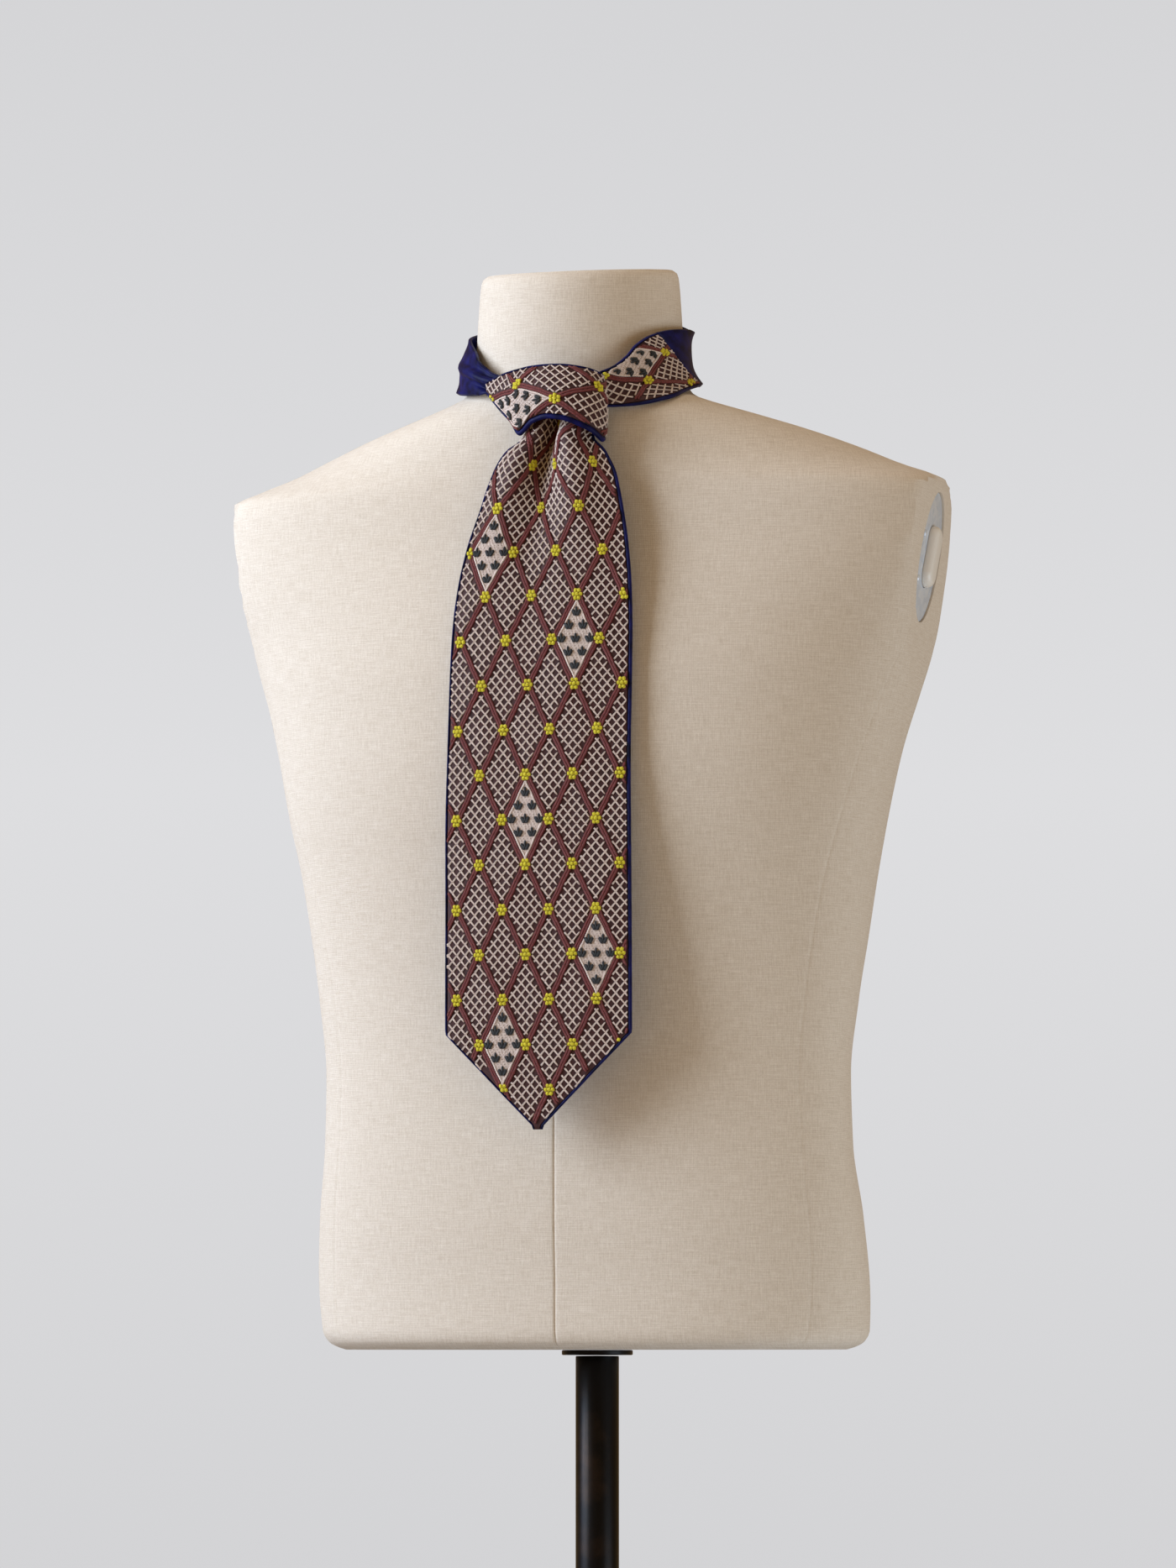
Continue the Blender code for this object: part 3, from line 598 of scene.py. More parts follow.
# The blade hangs in soft, uneven hollows
def bladeRipple(u, v):
    hollow = 0.35 * math.sin(u * 0.11 + v * 0.013 + 0.6) * math.sin(v * 0.021 + 1.1)
    return hollow + 0.15 * math.sin(u * 0.23 - v * 0.05)


# An embroidered face on its satin lining, which shows as piping along both edges
def linedStrip(name, cloth, edge, columns, nodes):
    widths = piping[edge]

    def edges(i):
        low, high = cloth.low[i], cloth.high[i]
        return low, high, min(1.0, (high - low) / (2.6 * sum(widths)))  # the piping narrows with the strip

    def loopOfFace(i):
        low, high, give = edges(i)
        left, right = low + (widths[0] + 0.15) * give, high - (widths[1] + 0.15) * give
        return faceLoop(left, right, layers["faceFront"], layers["faceBack"], columns)

    def loopOfLining(i):
        low, high, give = edges(i)
        shown = [width * give for width in widths]
        return liningLoop(low, high, shown, layers["pipingFront"], layers["liningBack"], columns)

    face = clothWall(name + "_embroidered_face", cloth, loopOfFace, finish["ground"])
    lining = clothWall(name + "_satin_lining", cloth, loopOfLining, finish["satin"])
    return standsFor(face, nodes[0]), standsFor(lining, nodes[1])


def plainStrip(name, cloth, half, columns, node):
    def loopOfStrip(i):
        return faceLoop(cloth.low[i], cloth.high[i], half, -half, columns)

    return standsFor(clothWall(name, cloth, loopOfStrip, finish["satin"]), node)


blade = hungStrip(bladePoint, bladeEnds, 61, bladeRipple)
wrap = Cloth(wrapPoint, [k * 0.001 for k in range(0, 87)], 25)
neck = Cloth(neckPoint, [k / 60 for k in range(61)], 25)
band = Cloth(plainBandPoint, [k / 150 for k in range(151)], 21, ripple=bandRipple)
tail = hungStrip(tailPoint, tailEnds, 21)
print("cloth laid out")

bladeFace, bladeLining = linedStrip("blade", blade, "blade", 49, ("blade_face", "blade_lining"))
wrapFace, wrapLining = linedStrip("knot_wrap", wrap, "wrap", 23, ("knot_wrap_face", "knot_wrap_lining"))
neckFace, neckLining = linedStrip("neck", neck, "neck", 21, ("neck_face", "neck_lining"))
plainBand = plainStrip("neckband_satin", band, 1.0, 21, "neckband")
tailEnd = plainStrip("tail_satin", tail, 0.9, 17, "tail")

foldedLayers = Table(
    "x back front low high",
    [
        (-27.4, -100.3, -101.4, 766.9, 768.8),
        (-20, -100.4, -105, 762.2, 770.3),
        (-11, -100.2, -111.5, 757.1, 772.3),
        (-2, -100.2, -115.5, 754.7, 773),
        (10, -100.2, -117.5, 753.6, 773.1),
        (18, -101.2, -114.2, 754.3, 772),
        (25, -102.6, -110, 757.2, 768.9),
        (29.5, -102.6, -107, 759.8, 765.9),
    ],
)
foldedGrid = {"rows": 40, "around": 32}


def foldedLayersPlace(row, column):
    first, last = foldedLayers.keys[0], foldedLayers.keys[-1]
    x = first + (last - first) * row / foldedGrid["rows"]
    section = foldedLayers.at(x)
    angle = 2 * math.pi * column / foldedGrid["around"]
    ripple = 1 + 0.05 * math.sin(angle * 6 + x * 300)
    signed = [math.copysign(abs(c) ** 0.6, c) * ripple for c in (math.cos(angle), math.sin(angle))]
    y = (section["back"] + section["front"]) / 2 + signed[0] * (section["front"] - section["back"]) / 2
    z = (section["low"] + section["high"]) / 2 + signed[1] * (section["high"] - section["low"]) / 2
    return Vector((x, y, z)), (x / mm, angle * 5)


folded = placedGrid(foldedGrid["rows"] + 1, foldedGrid["around"] + 1, foldedLayersPlace, closed=True)
standsFor(finished("knot_folded_layers", folded, finish["satin"]), "knot_inner_layers")
print("cravat made")


# One stitch is a short rounded bead of thread; all the stitches of a kind are joined in one mesh
def beadShape(sides):
    shape = bmesh.new()
    bmesh.ops.create_uvsphere(shape, u_segments=sides, v_segments=3, radius=1)
    bmesh.ops.rotate(shape, cent=(0, 0, 0), matrix=Matrix.Rotation(math.radians(90), 3, "Y"), verts=shape.verts)
    for vert in shape.verts:  # a capsule: the rings move out and widen, the poles stay
        if abs(vert.co.x) < 0.9:
            vert.co = (math.copysign(0.66, vert.co.x), vert.co.y / 0.866, vert.co.z / 0.866)
    bmesh.ops.triangulate(shape, faces=shape.faces)
    return shape


def stitchedPiece(name, cloth, stitches, material, sides):
    rows = np.array(stitches, float)  # u0 v0 u1 v1 lift width height
    start, facingA = cloth.at(rows[:, 0], rows[:, 1], rows[:, 4])
    end, facingB = cloth.at(rows[:, 2], rows[:, 3], rows[:, 4])
    axis = end - start
    length = np.linalg.norm(axis, axis=1, keepdims=True)
    up = facingA + facingB
    side = np.cross(up, axis)
    side /= np.linalg.norm(side, axis=1, keepdims=True)
    up = np.cross(axis, side)
    up /= np.linalg.norm(up, axis=1, keepdims=True)
    bead = beadShape(sides)
    bead.verts.index_update()
    local = np.array([tuple(v.co) for v in bead.verts])
    corners = np.array([[v.index for v in face.verts] for face in bead.faces])
    bead.free()
    points = ((start + end) / 2)[:, None] + local[None, :, 0:1] * axis[:, None] / 2
    points += local[None, :, 1:2] * side[:, None] * (rows[:, 5] / 2 * mm)[:, None, None]
    points += local[None, :, 2:3] * up[:, None] * (rows[:, 6] / 2 * mm)[:, None, None]
    faces = (corners[None] + (np.arange(len(rows)) * len(local))[:, None, None]).reshape(-1)
    mesh = bpy.data.meshes.new(name)
    mesh.vertices.add(len(rows) * len(local))
    mesh.vertices.foreach_set("co", points.reshape(-1))
    mesh.loops.add(len(faces))
    mesh.loops.foreach_set("vertex_index", faces)
    mesh.polygons.add(len(faces) // 3)
    mesh.polygons.foreach_set("loop_start", np.arange(0, len(faces), 3))
    mesh.update(calc_edges=True)
    offsets = np.arange(len(rows))[:, None] * 7.3
    along = local[None, :, 0] * length / 2 / mm + offsets
    sideways = local[None, :, 1] * rows[:, 5:6] / 2
    cut = np.stack([along, sideways], axis=2).reshape(-1, 2)
    mesh.uv_layers.new(name="cut").data.foreach_set("uv", cut[faces].reshape(-1))
    mesh.shade_smooth()
    mesh.materials.append(material)
    made = linked(name, mesh)
    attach(made, "root")
    print(name, len(rows), "stitches,", len(faces) // 3, "triangles")
    return made


# The worked pattern: an ogee lattice of maroon rope, each cell filled with a cream net, a yellow floret at each
# crossing, and a few cells worked solid in cream with sprigs of black leaves. Sizes in millimetres of cloth.
pattern = {
    "cellWide": 28.0,
    "cellHigh": 52.0,
    "ropeGap": 3.1,
    "ropeWide": 1.35,
    "ropeStitch": 3.4,
    "ropeStep": 1.55,
    "ropeOff": 0.68,
    "ropeLean": 0.36,
    "netWide": 5.3,
    "netHigh": 6.3,
    "netThread": 0.57,
    "netTwist": (0.3, 0.08),
    "shortest": 0.8,
    "satinStep": 0.72,
    "satinStitch": 4.2,
    "cordAway": 2.25,
    "cordStitch": 2.3,
    "cordStep": 1.25,
    "cordHalf": 22.5,
    "floretAway": 2.05,
    "bladePatches": [(-3, 3), (1, 5), (-1, 9), (2, 12), (-2, 14)],
    "sprigs": [(0, -15.5), (-4.2, -7.8), (4.2, -7.8), (-8.4, 0), (0, 0), (8.4, 0), (-4.2, 7.8), (4.2, 7.8), (0, 15.5)],
}


def ogee(v, phase):
    turn = 2 * math.pi * v / pattern["cellHigh"] + phase
    return (math.cos(turn) + 0.1 * math.cos(3 * turn)) / 1.1


def latticeLine(k, v):
    swing = (pattern["cellWide"] / 2 - pattern["ropeGap"]) / 2
    return k * pattern["cellWide"] / 2 + (swing if k % 2 else -swing) * ogee(v, 0)


# How much wider than square across a gap beside a line is, measured along u, where the line leans
def leaning(k, v):
    return math.hypot(1, latticeLine(k, v + 0.5) - latticeLine(k, v - 0.5))


class Embroidery:
    def __init__(self, name, cloth, pads, shift, patches, squeeze=lambda v: 1.0):
        self.name, self.cloth, self.pads, self.squeeze, self.shift = name, cloth, pads, squeeze, shift
        self.patches = set(patches)
        self.rope, self.net, self.gold, self.cream, self.black = [], [], [], [], []
        self.wide = int(np.abs([cloth.low, cloth.high]).max() / pattern["cellWide"] * 2) + 3

    def onCloth(self, u, v):
        return (u + self.shift[0]) * self.squeeze(v + self.shift[1]), v + self.shift[1]

    def inside(self, u, v, more=0.0):
        x, y = self.onCloth(u, v)
        low, high = self.cloth.reach(y)
        return more < y < self.cloth.v[-1] - more and low + self.pads[0] + more < x < high - self.pads[1] - more

    def add(self, store, u0, v0, u1, v1, lift, width, height):
        store.append((*self.onCloth(u0, v0), *self.onCloth(u1, v1), lift, width, height))

    def rows(self):
        return np.arange(-self.shift[1] - 2, self.cloth.v[-1] - self.shift[1] + 2, 0.5)

    def workRopes(self):
        step, stitch = pattern["ropeStep"], pattern["ropeStitch"]
        for k in range(-self.wide, self.wide + 1):
            vs = self.rows()
            us = np.array([latticeLine(k, v) for v in vs])
            arc = np.concatenate([[0], np.cumsum(np.hypot(np.diff(us), np.diff(vs)))])
            for line in (-1, 1):
                for s in np.arange(line * 0.4 + 1, arc[-1] - stitch, step):
                    u0, v0 = np.interp(s, arc, us), np.interp(s, arc, vs)
                    u1, v1 = np.interp(s + stitch, arc, us), np.interp(s + stitch, arc, vs)
                    acrossU, acrossV = (v1 - v0) / stitch, -(u1 - u0) / stitch
                    off, lean = line * pattern["ropeOff"], pattern["ropeLean"]
                    ends = (u0 + acrossU * (off - lean), v0 + acrossV * (off - lean))
                    ends += (u1 + acrossU * (off + lean), v1 + acrossV * (off + lean))
                    if self.inside(*ends[:2], 0.5) and self.inside(*ends[2:], 0.5):
                        wide = pattern["ropeWide"] * random.uniform(0.92, 1.06)
                        self.add(self.rope, *ends, faceTop + 0.45 + random.uniform(-0.06, 0.06), wide, 1.15)

    def cells(self):
        wide, high = pattern["cellWide"], pattern["cellHigh"]
        first = int(math.floor(-self.shift[1] / high * 2)) - 1
        last = int(math.ceil((self.cloth.v[-1] - self.shift[1]) / high * 2)) + 1
        for row in range(first, last + 1):
            for column in range(-self.wide, self.wide + 1):
                if (column - row) % 2 == 0:
                    yield column, row, column * wide / 2 + wide / 4, row * high / 2

    def inCell(self, u, v, column, margin):
        left = latticeLine(column, v) + margin * leaning(column, v)
        return left < u < latticeLine(column + 1, v) - margin * leaning(column + 1, v)

    def workCells(self):
        for column, row, u, v in self.cells():
            x, y = self.onCloth(u, v)
            low, high = self.cloth.reach(y)
            if not (low - 20 < x < high + 20 and -30 < y < self.cloth.v[-1] + 30):
                continue
            if (column, row) in self.patches:
                self.workPatch(column, u, v)
            else:
                self.workNet(column, u, v)
            self.workFloret(u, v + pattern["cellHigh"] / 2)

    def workNet(self, column, u, v):
        wide, high = pattern["netWide"] / 2, pattern["netHigh"] / 2
        bound = pattern["cellHigh"] / 2
        for a in range(-7, 8):
            for b in range(-11, 12):
                if (a + b) % 2:
                    continue
                start = (u + a * wide, v + b * high)
                for way in (-1, 1):
                    end = (start[0] + wide, start[1] + way * high)
                    kept = self.clipped(start, end, column, v, bound)
                    if not kept or math.dist(*kept) < pattern["shortest"]:
                        continue
                    (u0, v0), (u1, v1) = kept
                    du, dv = ((b - a) / math.dist(*kept) for a, b in zip(*kept))
                    for strand in (-1, 1):  # two strands that twist over each other
                        offA, offB = (strand * twist for twist in pattern["netTwist"])
                        ends = (u0 - du * 0.25 - dv * offA, v0 - dv * 0.25 + du * offA)
                        ends += (u1 + du * 0.25 - dv * offB, v1 + dv * 0.25 + du * offB)
                        lift = faceTop + 0.38 + 0.08 * strand * way
                        self.add(self.net, *ends, lift, pattern["netThread"] * random.uniform(0.95, 1.1), 0.62)

    def allowed(self, point, column, middle, bound, margin=2.1):
        u, v = point
        return abs(v - middle) < bound and self.inCell(u, v, column, margin) and self.inside(u, v, 0.35)

    def clipped(self, start, end, column, middle, bound):
        inStart, inEnd = (self.allowed(p, column, middle, bound) for p in (start, end))
        if inStart and inEnd:
            return start, end
        if not (inStart or inEnd):
            return None
        inner, outer = (start, end) if inStart else (end, start)
        for _ in range(6):
            half = ((inner[0] + outer[0]) / 2, (inner[1] + outer[1]) / 2)
            inner, outer = (half, outer) if self.allowed(half, column, middle, bound) else (inner, half)
        return (start, inner) if inStart else (inner, end)

    def workFloret(self, u, v):
        for k in range(7):
            turn = k * math.pi / 3
            away = 0.0 if k == 6 else pattern["floretAway"]
            place = (u + away * math.cos(turn), v + away * math.sin(turn) * 1.25)
            if self.inside(*place, 0.9):
                size = random.uniform(2.15, 2.6)
                lift = faceTop + (1.3 if k == 6 else 0.85)
                lean = random.uniform(-0.5, 0.5)
                self.add(self.gold, place[0] - 1.1, place[1] - lean, place[0] + 1.1, place[1] + lean, lift, size, 1.6)

    def workPatch(self, column, u, v):
        bound = pattern["cellHigh"] / 2
        step, stitch = pattern["satinStep"], pattern["satinStitch"]
        for line in range(-20, 21):
            offset = u + line * step
            for k in range(-8, 9):
                v0 = v + (k + (line % 3) / 3) * stitch
                ends = ((offset, v0 - 0.3), (offset + random.uniform(-0.1, 0.1), v0 + stitch + 0.3))
                kept = self.clipped(*ends, column, v, bound)
                if kept and abs(kept[1][1] - kept[0][1]) > pattern["shortest"]:
                    self.add(self.cream, *kept[0], *kept[1], faceTop + 0.32, 0.86, 0.72)
        for a, b in pattern["sprigs"]:
            for lean in (-1, 1):
                ends = ((u + a + lean * 0.3, v + b + 2.3), (u + a + lean * 2.4, v + b - 1.7))
                if self.inside(*ends[0], 1) and self.inside(*ends[1], 1):
                    self.add(self.black, *ends[0], *ends[1], faceTop + 1.0, 2.1, 1.2)
            if self.inside(u + a, v + b - 2.5, 1.2) and self.inside(u + a, v + b, 1.2):
                self.add(self.black, u + a, v + b + 1.4, u + a, v + b - 3.6, faceTop + 1.05, 1.4, 1.1)
        self.workCord(column, v)

    def workCord(self, column, middle):
        for side, way in ((column, 1), (column + 1, -1)):
            for v in np.arange(middle - pattern["cordHalf"], middle + pattern["cordHalf"], pattern["cordStep"]):
                ends = []
                for reach, lean in ((0, -0.3), (pattern["cordStitch"], 0.3)):
                    away = way * (pattern["cordAway"] + lean) * leaning(side, v + reach)
                    ends += [latticeLine(side, v + reach) + away, v + reach]
                if self.inside(*ends[:2], 0.3) and self.inside(*ends[2:], 0.3):
                    self.add(self.cream, *ends, faceTop + 0.62, 1.15, 1.05)

    def make(self):
        self.workRopes()
        self.workCells()
        made = []
        for word, store, thread, sides in (
            ("rope", self.rope, "maroon", 6),
            ("net", self.net, "cream", 5),
            ("florets", self.gold, "yellow", 7),
            ("satin_stitch", self.cream, "cream", 5),
            ("leaves", self.black, "black", 6),
        ):
            if store:
                made.append(stitchedPiece(f"{self.name}_{word}", self.cloth, store, finish[thread], sides))
        return made


# The pattern is drawn together where the blade is gathered into the knot
def bladeSqueeze(v):
    return 1 - 0.16 * math.exp(-((max(v, 0) / 70) ** 2))


worked = {
    "blade": Embroidery("blade", blade, piping["blade"], (0.6, 9), pattern["bladePatches"], bladeSqueeze),
    "wrap": Embroidery("knot_wrap", wrap, piping["wrap"], (2, 6), [(-1, 1)]),
    "neck": Embroidery("neck", neck, piping["neck"], (1, 30), [(0, 0)]),
}
threads = {name: work.make() for name, work in worked.items()}
print("embroidery worked")


# The dress form: linen over a moulded body, its sections joined by rings resampled along their own arc
form = {
    "armFaceX": 0.211,
    "armFaceZ": 0.700,
    "armTurn": math.radians(7.3),
    "armFlatFrom": 0.525,
    "rimSoftness": 0.0022,
    "bottom": 0.207,
    "neckSlope": 0.13,
    "neckLift": 0.0055,
    "neckSlopeFrom": 0.782,
    "neckTop": 0.838,
    "seamDepth": 0.0004,
    "frontSeam": 2.4,  # how many times deeper centre front is
    "seamWidth": 0.0009,
    "seamTop": 0.73,
    "seamFade": 0.02,
    "ringSpacing": 0.0035,
}


def signedPower(value, power):
    return math.copysign(abs(value) ** power, value)


def softLimit(value, limit, softness):
    return 0.5 * (value + limit - math.sqrt((value - limit) ** 2 + softness**2))


def armFaceAt(z):
    return form["armFaceX"] - (form["armFaceZ"] - z) * math.tan(form["armTurn"])


def formRing(z, count=720):
    section = formSections.at(z)
    power = 2 / formSquareness.at(z)["power"]
    limit = armFaceAt(max(z, form["armFlatFrom"]))
    share = max(0.0, (z - form["neckSlopeFrom"]) / (form["neckTop"] - form["neckSlopeFrom"]))
    share = share * share * (3 - 2 * share)
    ring = []
    for k in range(count + 1):
        angle = 2 * math.pi * k / count - math.pi / 2
        reach = section["back"] if math.sin(angle) > 0 else section["front"]
        x = section["halfWidth"] * signedPower(math.cos(angle), power)
        y = section["widest"] + abs(reach - section["widest"]) * signedPower(math.sin(angle), power)
        x = math.copysign(max(0.0, softLimit(abs(x), limit, form["rimSoftness"])), x)
        ring.append((x, y, z + share * (form["neckLift"] + form["neckSlope"] * (y - neckCentreY))))
    return np.array(ring)


# Where the panels' seams run on one half, as shares of that half's arc from centre front to centre back
seamLines = Table(
    "z sideFront sideBack",
    [(200, 0.36, 0.70), (450, 0.37, 0.69), (600, 0.42, 0.68), (700, 0.50, 0.64), (760, 0.5, 0.7), (838, 0.5, 0.75)],
    unit=1,
)


def ringColumns(z, half):
    lines = seamLines.at(z)
    seams = [0.0, lines["sideFront"] * half, lines["sideBack"] * half, half]
    columns = []
    for start, end in zip(seams, seams[1:]):
        gap = min(0.0015, (end - start) / 6)
        columns += [start, start + gap * 0.5, start + gap, start + gap * 2]
        columns += list(np.linspace(start + gap * 2, end - gap * 2, 30)[1:-1])
        columns += [end - gap * 2, end - gap, end - gap * 0.5]
    return columns + [half], seams


formHeights = list(np.arange(form["bottom"], form["neckTop"], form["ringSpacing"]))
for rise in (0.001, 0.0015, 0.0025, 0.0035, 0.0045, 0.006, 0.008):  # more rings where the edges are round
    formHeights.append(form["bottom"] + rise)
for drop in (0.002, 0.001, 0.0002, 0):
    formHeights.append(form["neckTop"] - drop)
formHeights = sorted(set(round(z, 5) for z in formHeights))
formGrid = []
for z in formHeights:
    ring = formRing(z)
    arc = np.concatenate([[0], np.cumsum(np.linalg.norm(np.diff(ring, axis=0), axis=1))])
    half = arc[-1] / 2
    columns, seams = ringColumns(z, half)
    around = columns + [2 * half - c for c in columns[::-1][1:]]
    points = np.array([[np.interp(a, arc, ring[:, k]) for k in range(3)] for a in around])
    tangent = np.gradient(points, axis=0)
    outwards = np.stack([tangent[:, 1], -tangent[:, 0], np.zeros(len(points))], axis=1)
    outwards /= np.linalg.norm(outwards, axis=1, keepdims=True) + 1e-9
    both = seams + [2 * half - s for s in seams]
    dips = np.array([sum(hump(a, s, form["seamWidth"]) for s in both) for a in around])
    dips *= min(1.0, max(0.0, (form["seamTop"] - z) / form["seamFade"]))
    dips = np.minimum(dips, 1)
    dips[[0, -1]] *= form["frontSeam"]
    points -= outwards * dips[:, None] * form["seamDepth"]
    points[0, 0] = 0.0
    points[-1] = points[0]  # the ring closes on centre front
    formGrid.append((points, [(a if a <= half else a - 2 * half) / mm for a in around]))


def formPlace(row, column):
    points, arcs = formGrid[row]
    return Vector(points[column]), (arcs[column], formHeights[row] / mm)


torso = placedGrid(len(formHeights), len(formGrid[0][0]), formPlace, closed=True)
linenBody = finished("linen_torso", torso, finish["linen"])
print("form lofted:", len(linenBody.data.polygons), "faces")


# Armholes: an oval hollow in each arm face, with a pressed zinc plate sunk in it
arm = {
    "plateZ": 0.6705,
    "plateY": -0.014,
    "halfLength": 0.040,
    "halfWidth": 0.024,
    "lean": math.radians(-14),
    "recess": 0.0045,
    "plateDepth": 0.0042,
    "plateThickness": 0.003,
    "slotHalf": 0.019,
    "slotRadius": 0.0085,
    "gap": 0.0003,
    "holder": {"halfWidth": 0.0082, "halfLength": 0.0187, "thickness": 0.0072, "straight": 0.0105, "rim": 0.004},
    "rivets": [(-0.0172, 0.008), (-0.0145, -0.019), (0.0178, -0.004)],
    "rivetSize": (0.0012, 0.0024, 0.0024),
}


def onArmFace(shape, side, depth):
    tilt = Matrix.Rotation(form["armTurn"], 4, "Y")
    lean = Matrix.Rotation(arm["lean"], 4, "X")
    place = Matrix.Translation((armFaceAt(arm["plateZ"]) - depth, arm["plateY"], arm["plateZ"]))
    bmesh.ops.transform(shape, matrix=place @ tilt @ lean, verts=shape.verts)
    if side < 0:
        bmesh.ops.scale(shape, vec=(-1, 1, 1), verts=shape.verts)
    bmesh.ops.recalc_face_normals(shape, faces=shape.faces)


# A slab drawn in the YZ plane from x = 0 to x = thickness: an oval, or a stadium where straight pulls its ends apart
def armSlab(halfWidth, halfLength, thickness, straight=0.0, rim=0.0, steps=3, segments=96):
    shape = bmesh.new()
    bmesh.ops.create_circle(shape, cap_ends=True, segments=segments, radius=1)
    bmesh.ops.scale(shape, vec=(halfLength - straight, halfWidth, 1), verts=shape.verts)
    for vert in shape.verts:
        vert.co.x += math.copysign(straight, vert.co.x)
    raised = bmesh.ops.extrude_face_region(shape, geom=shape.faces[:])["geom"]
    top = [v for v in raised if isinstance(v, bmesh.types.BMVert)]
    bmesh.ops.translate(shape, vec=(0, 0, thickness), verts=top)
    if rim:
        edges = [e for e in shape.edges if all(v in top for v in e.verts)]
        bmesh.ops.bevel(shape, geom=edges, offset=rim, segments=steps, affect="EDGES", profile=0.5, material=-1)
    bmesh.ops.rotate(shape, cent=(0, 0, 0), matrix=Matrix.Rotation(math.radians(90), 3, "Y"), verts=shape.verts)
    return shape


# Cuts one piece out of another and keeps the result as plain mesh
def cutOut(piece, cutterShape):
    bmesh.ops.recalc_face_normals(cutterShape, faces=cutterShape.faces)
    mesh = bpy.data.meshes.new("cutter")
    cutterShape.to_mesh(mesh)
    cutterShape.free()
    cutter = linked("cutter", mesh)
    modifier = piece.modifiers.new("cut", "BOOLEAN")
    modifier.operation, modifier.solver, modifier.object = "DIFFERENCE", "EXACT", cutter
    bpy.context.view_layer.update()
    result = bpy.data.meshes.new_from_object(piece.evaluated_get(bpy.context.evaluated_depsgraph_get()))
    piece.modifiers.clear()
    piece.data = result
    bpy.data.objects.remove(cutter)


def sharpened(piece, degrees):
    piece.data.shade_smooth()
    piece.data.set_sharp_from_angle(angle=math.radians(degrees))


for side in (1, -1):
    hollow = armSlab(arm["halfWidth"], arm["halfLength"], 0.02)
    onArmFace(hollow, side, arm["recess"])
    cutOut(linenBody, hollow)
sharpened(linenBody, 38)
for face in linenBody.data.polygons:
    face.use_smooth = len(face.vertices) < 60  # the cloth on the two ends lies flat
standsFor(linenBody, "form_torso")
for side, word in ((1, "left"), (-1, "right")):
    gap = arm["gap"]
    shape = armSlab(arm["halfWidth"] - gap, arm["halfLength"] - gap, arm["plateThickness"], rim=0.0006)
    onArmFace(shape, side, arm["recess"] - gap)
    plate = finished("arm_plate_pressed_" + word, shape, finish["zinc"])
    slot = armSlab(arm["slotRadius"], arm["slotHalf"], 0.01, straight=arm["slotHalf"] - arm["slotRadius"])
    onArmFace(slot, side, arm["recess"] - gap - arm["plateThickness"] + 0.0018)
    cutOut(plate, slot)
    sharpened(plate, 35)
    standsFor(plate, "arm_plate_" + word)
    face = arm["recess"] - gap - arm["plateThickness"]
    holder = armSlab(**arm["holder"], steps=6)
    onArmFace(holder, side, face + 0.0017)
    fittings = [finished("moulded_holder_" + word, holder, finish["nylon"])]
    for number, (across, along) in enumerate(arm["rivets"]):
        rivet = bmesh.new()
        bmesh.ops.create_uvsphere(rivet, u_segments=24, v_segments=12, radius=1)
        bmesh.ops.scale(rivet, vec=arm["rivetSize"], verts=rivet.verts)
        bmesh.ops.translate(rivet, vec=(0, across, along), verts=rivet.verts)
        onArmFace(rivet, side, face)
        fittings.append(finished(f"plate_rivet_{word}_{number}", rivet, finish["zinc"]))
print("armholes cut")


# Stand: a turned base, a drawn pole and the flange under the form
def turnedPiece(name, profile, segments, node):
    shape = bmesh.new()
    chain = [shape.verts.new((radius * mm, 0, height * mm)) for radius, height in profile]
    edges = [shape.edges.new(pair) for pair in zip(chain, chain[1:])]
    whole = {"angle": math.tau, "steps": segments, "use_merge": True}
    bmesh.ops.spin(shape, geom=chain + edges, cent=(0, 0, 0), axis=(0, 0, 1), **whole)
    bmesh.ops.remove_doubles(shape, verts=shape.verts, dist=1e-6)
    bmesh.ops.recalc_face_normals(shape, faces=shape.faces)
    made = finished(name, shape, finish["bronze"])
    sharpened(made, 40)
    standsFor(made, node)


baseProfile = [(0, 0), (148.5, 0), (149.6, 0.4), (150, 1.5), (150, 6.3), (149.5, 7.3), (148.4, 7.9), (146, 8)]
baseProfile += [(40, 8), (34, 8.2), (31.2, 9.4), (30, 11), (25.4, 20.6), (24.2, 21.7), (22.6, 22), (0, 22)]
turnedPiece("turned_base", baseProfile, 128, "stand_base")
poleProfile = [(0, 22.3), (12.8, 22.3), (12.8, 202.6), (12.5, 203.2), (0, 203.4)]
turnedPiece("drawn_pole", poleProfile, 64, "stand_pole")
flangeProfile = [(0, 203.7), (20.4, 203.7), (21, 204.2), (21, 206.2), (20.4, 206.7), (0, 206.7)]
turnedPiece("form_flange", flangeProfile, 64, "stand_flange")
print("stand turned")

# What each strip of cloth was cut to, worked out along its own surface
cuts = [
    (bladeFace, blade, "hung", ["linen_torso"]),
    (bladeLining, blade, "hung", ["linen_torso"]),
    (wrapFace, wrap, "folded", ["knot_folded_layers"]),
    (wrapLining, wrap, "folded", ["knot_folded_layers"]),
    (neckFace, neck, "draped", ["linen_torso"]),
    (neckLining, neck, "draped", ["linen_torso"]),
    (plainBand, band, "draped", ["linen_torso"]),
    (tailEnd, tail, "hung", ["linen_torso"]),
]
for piece, cloth, held, under in cuts:
    flat, area = cloth.size()
    print(piece.name, "cut", [round(f, 4) for f in flat], "area", round(area, 5))


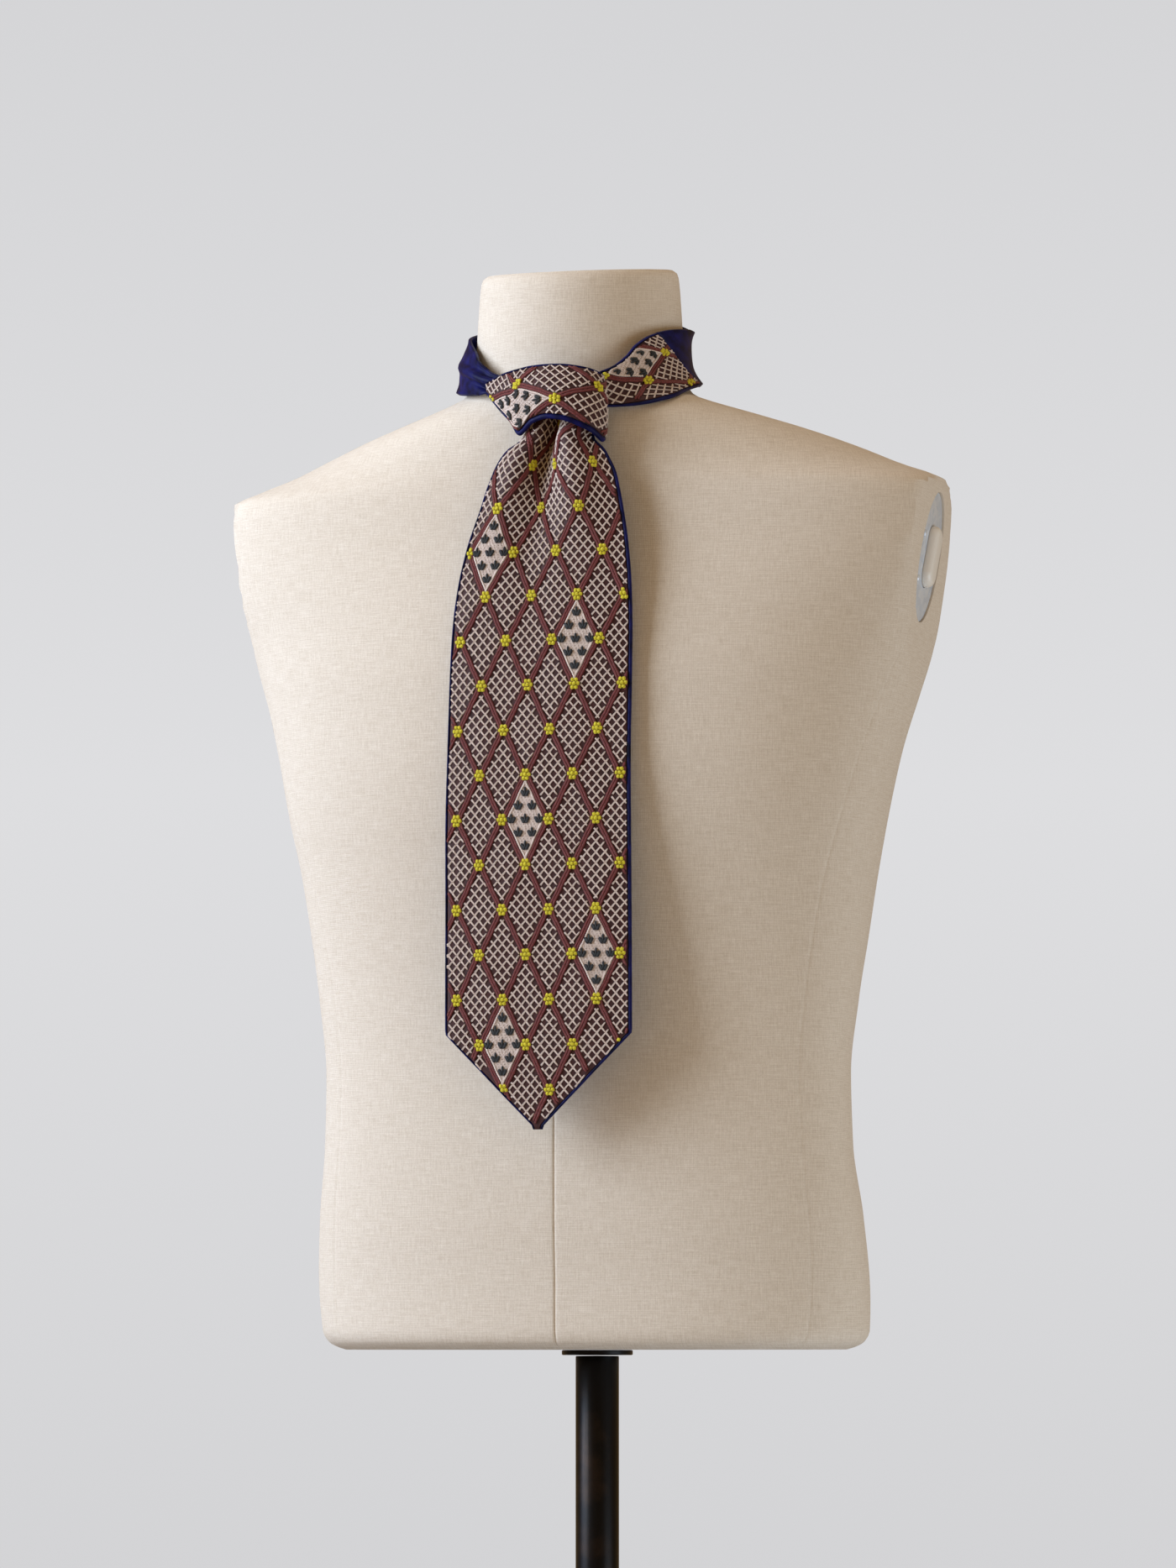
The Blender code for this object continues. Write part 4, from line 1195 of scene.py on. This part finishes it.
# Studio: a small pale floor, a soft key from the left, a weaker fill, and a pale surround with painted shade, darker
# towards its top and bottom
studio = {
    "turn": 16,
    "distance": 4.0,
    "cameraZ": 0.2,
    "aimZ": 0.5425,
    "shiftX": -0.0055,
    "heightSeen": 0.9335,
    "floorRadius": 0.42,
}
floor = bmesh.new()
bmesh.ops.create_circle(floor, cap_ends=True, segments=128, radius=studio["floorRadius"])
bmesh.ops.translate(floor, vec=(0, 0, -0.0002), verts=floor.verts)
floorMesh = bpy.data.meshes.new("studio_floor")
floor.to_mesh(floorMesh)
floor.free()
floorMesh.materials.append(finish["floor"])
linked("studio_floor", floorMesh)

turn = math.radians(studio["turn"])
toRight = Vector((math.cos(turn), math.sin(turn), 0))
forward = Vector((-math.sin(turn), math.cos(turn), 0))
aim = toRight * studio["shiftX"] + Vector((0, 0, studio["aimZ"]))
cameraData = bpy.data.cameras.new("camera")
cameraData.clip_end = 50
camera = linked("camera", cameraData)
camera.location = toRight * studio["shiftX"] - forward * studio["distance"] + Vector((0, 0, studio["cameraZ"]))
cameraData.lens = 36 * (aim - camera.location).length / studio["heightSeen"]
camera.rotation_euler = (aim - camera.location).to_track_quat("-Z", "Y").to_euler()
bpy.context.scene.camera = camera


def softLight(name, place, size, watts, colour):
    data = bpy.data.lights.new(name, "AREA")
    data.shape = "RECTANGLE"
    data.size, data.size_y = size
    data.energy = watts
    data.color = toLinear(colour)[:3]
    light = linked(name, data)
    light.location = aim + toRight * place[0] - forward * place[1] + Vector((0, 0, place[2]))
    light.rotation_euler = (aim - light.location).to_track_quat("-Z", "Y").to_euler()


softLight("key", (-1.75, 0.62, 0.6), (1.2, 1.6), 48.5, "#e5f1ff")
softLight("edge", (-1.9, 0.25, 0.45), (1.2, 1.6), 13.5, "#b2d0ff")
softLight("top", (0.3, 0.3, 2.3), (1.2, 1.2), 11, "#fff8f0")
softLight("side", (1.9, 1.1, -0.9), (1.6, 1.4), 27.2, "#ddefff")
world = bpy.data.worlds.new("studio")
world.use_nodes = True
tree = world.node_tree
tree.nodes.remove(tree.nodes["Background"])
# The surround the camera sees is grey with painted shade: brightest in a band near the middle of the view, darker
# above and below. The light the surround casts is an even warm glow.
seen = addNode(tree, "SeparateXYZ", {"Vector": addNode(tree, "TexCoord").outputs["Generated"]})
height = addNode(tree, "MapRange", {"Value": seen.outputs["Z"], "From Min": -0.05, "From Max": 0.25})
greys = [(0.05, "#d3d3d5"), (0.45, "#dedee0"), (0.83, "#d5d5d7"), (1.0, "#d0d0d3")]
paintedBackdropShade = rampBetween(tree, height.outputs[0], greys)
shown = addNode(tree, "Background", {"Color": paintedBackdropShade, "Strength": 1.0})
lit = addNode(tree, "Background", {"Color": toLinear("#ffce88"), "Strength": 0.285})
fromCamera = addNode(tree, "LightPath").outputs["Is Camera Ray"]
both = addNode(tree, "MixShader", {0: fromCamera, 1: lit.outputs[0], 2: shown.outputs[0]})
tree.links.new(both.outputs[0], tree.nodes["World Output"].inputs["Surface"])
bpy.context.scene.world = world
bpy.context.scene.view_settings.view_transform = "Standard"
print("studio lit")
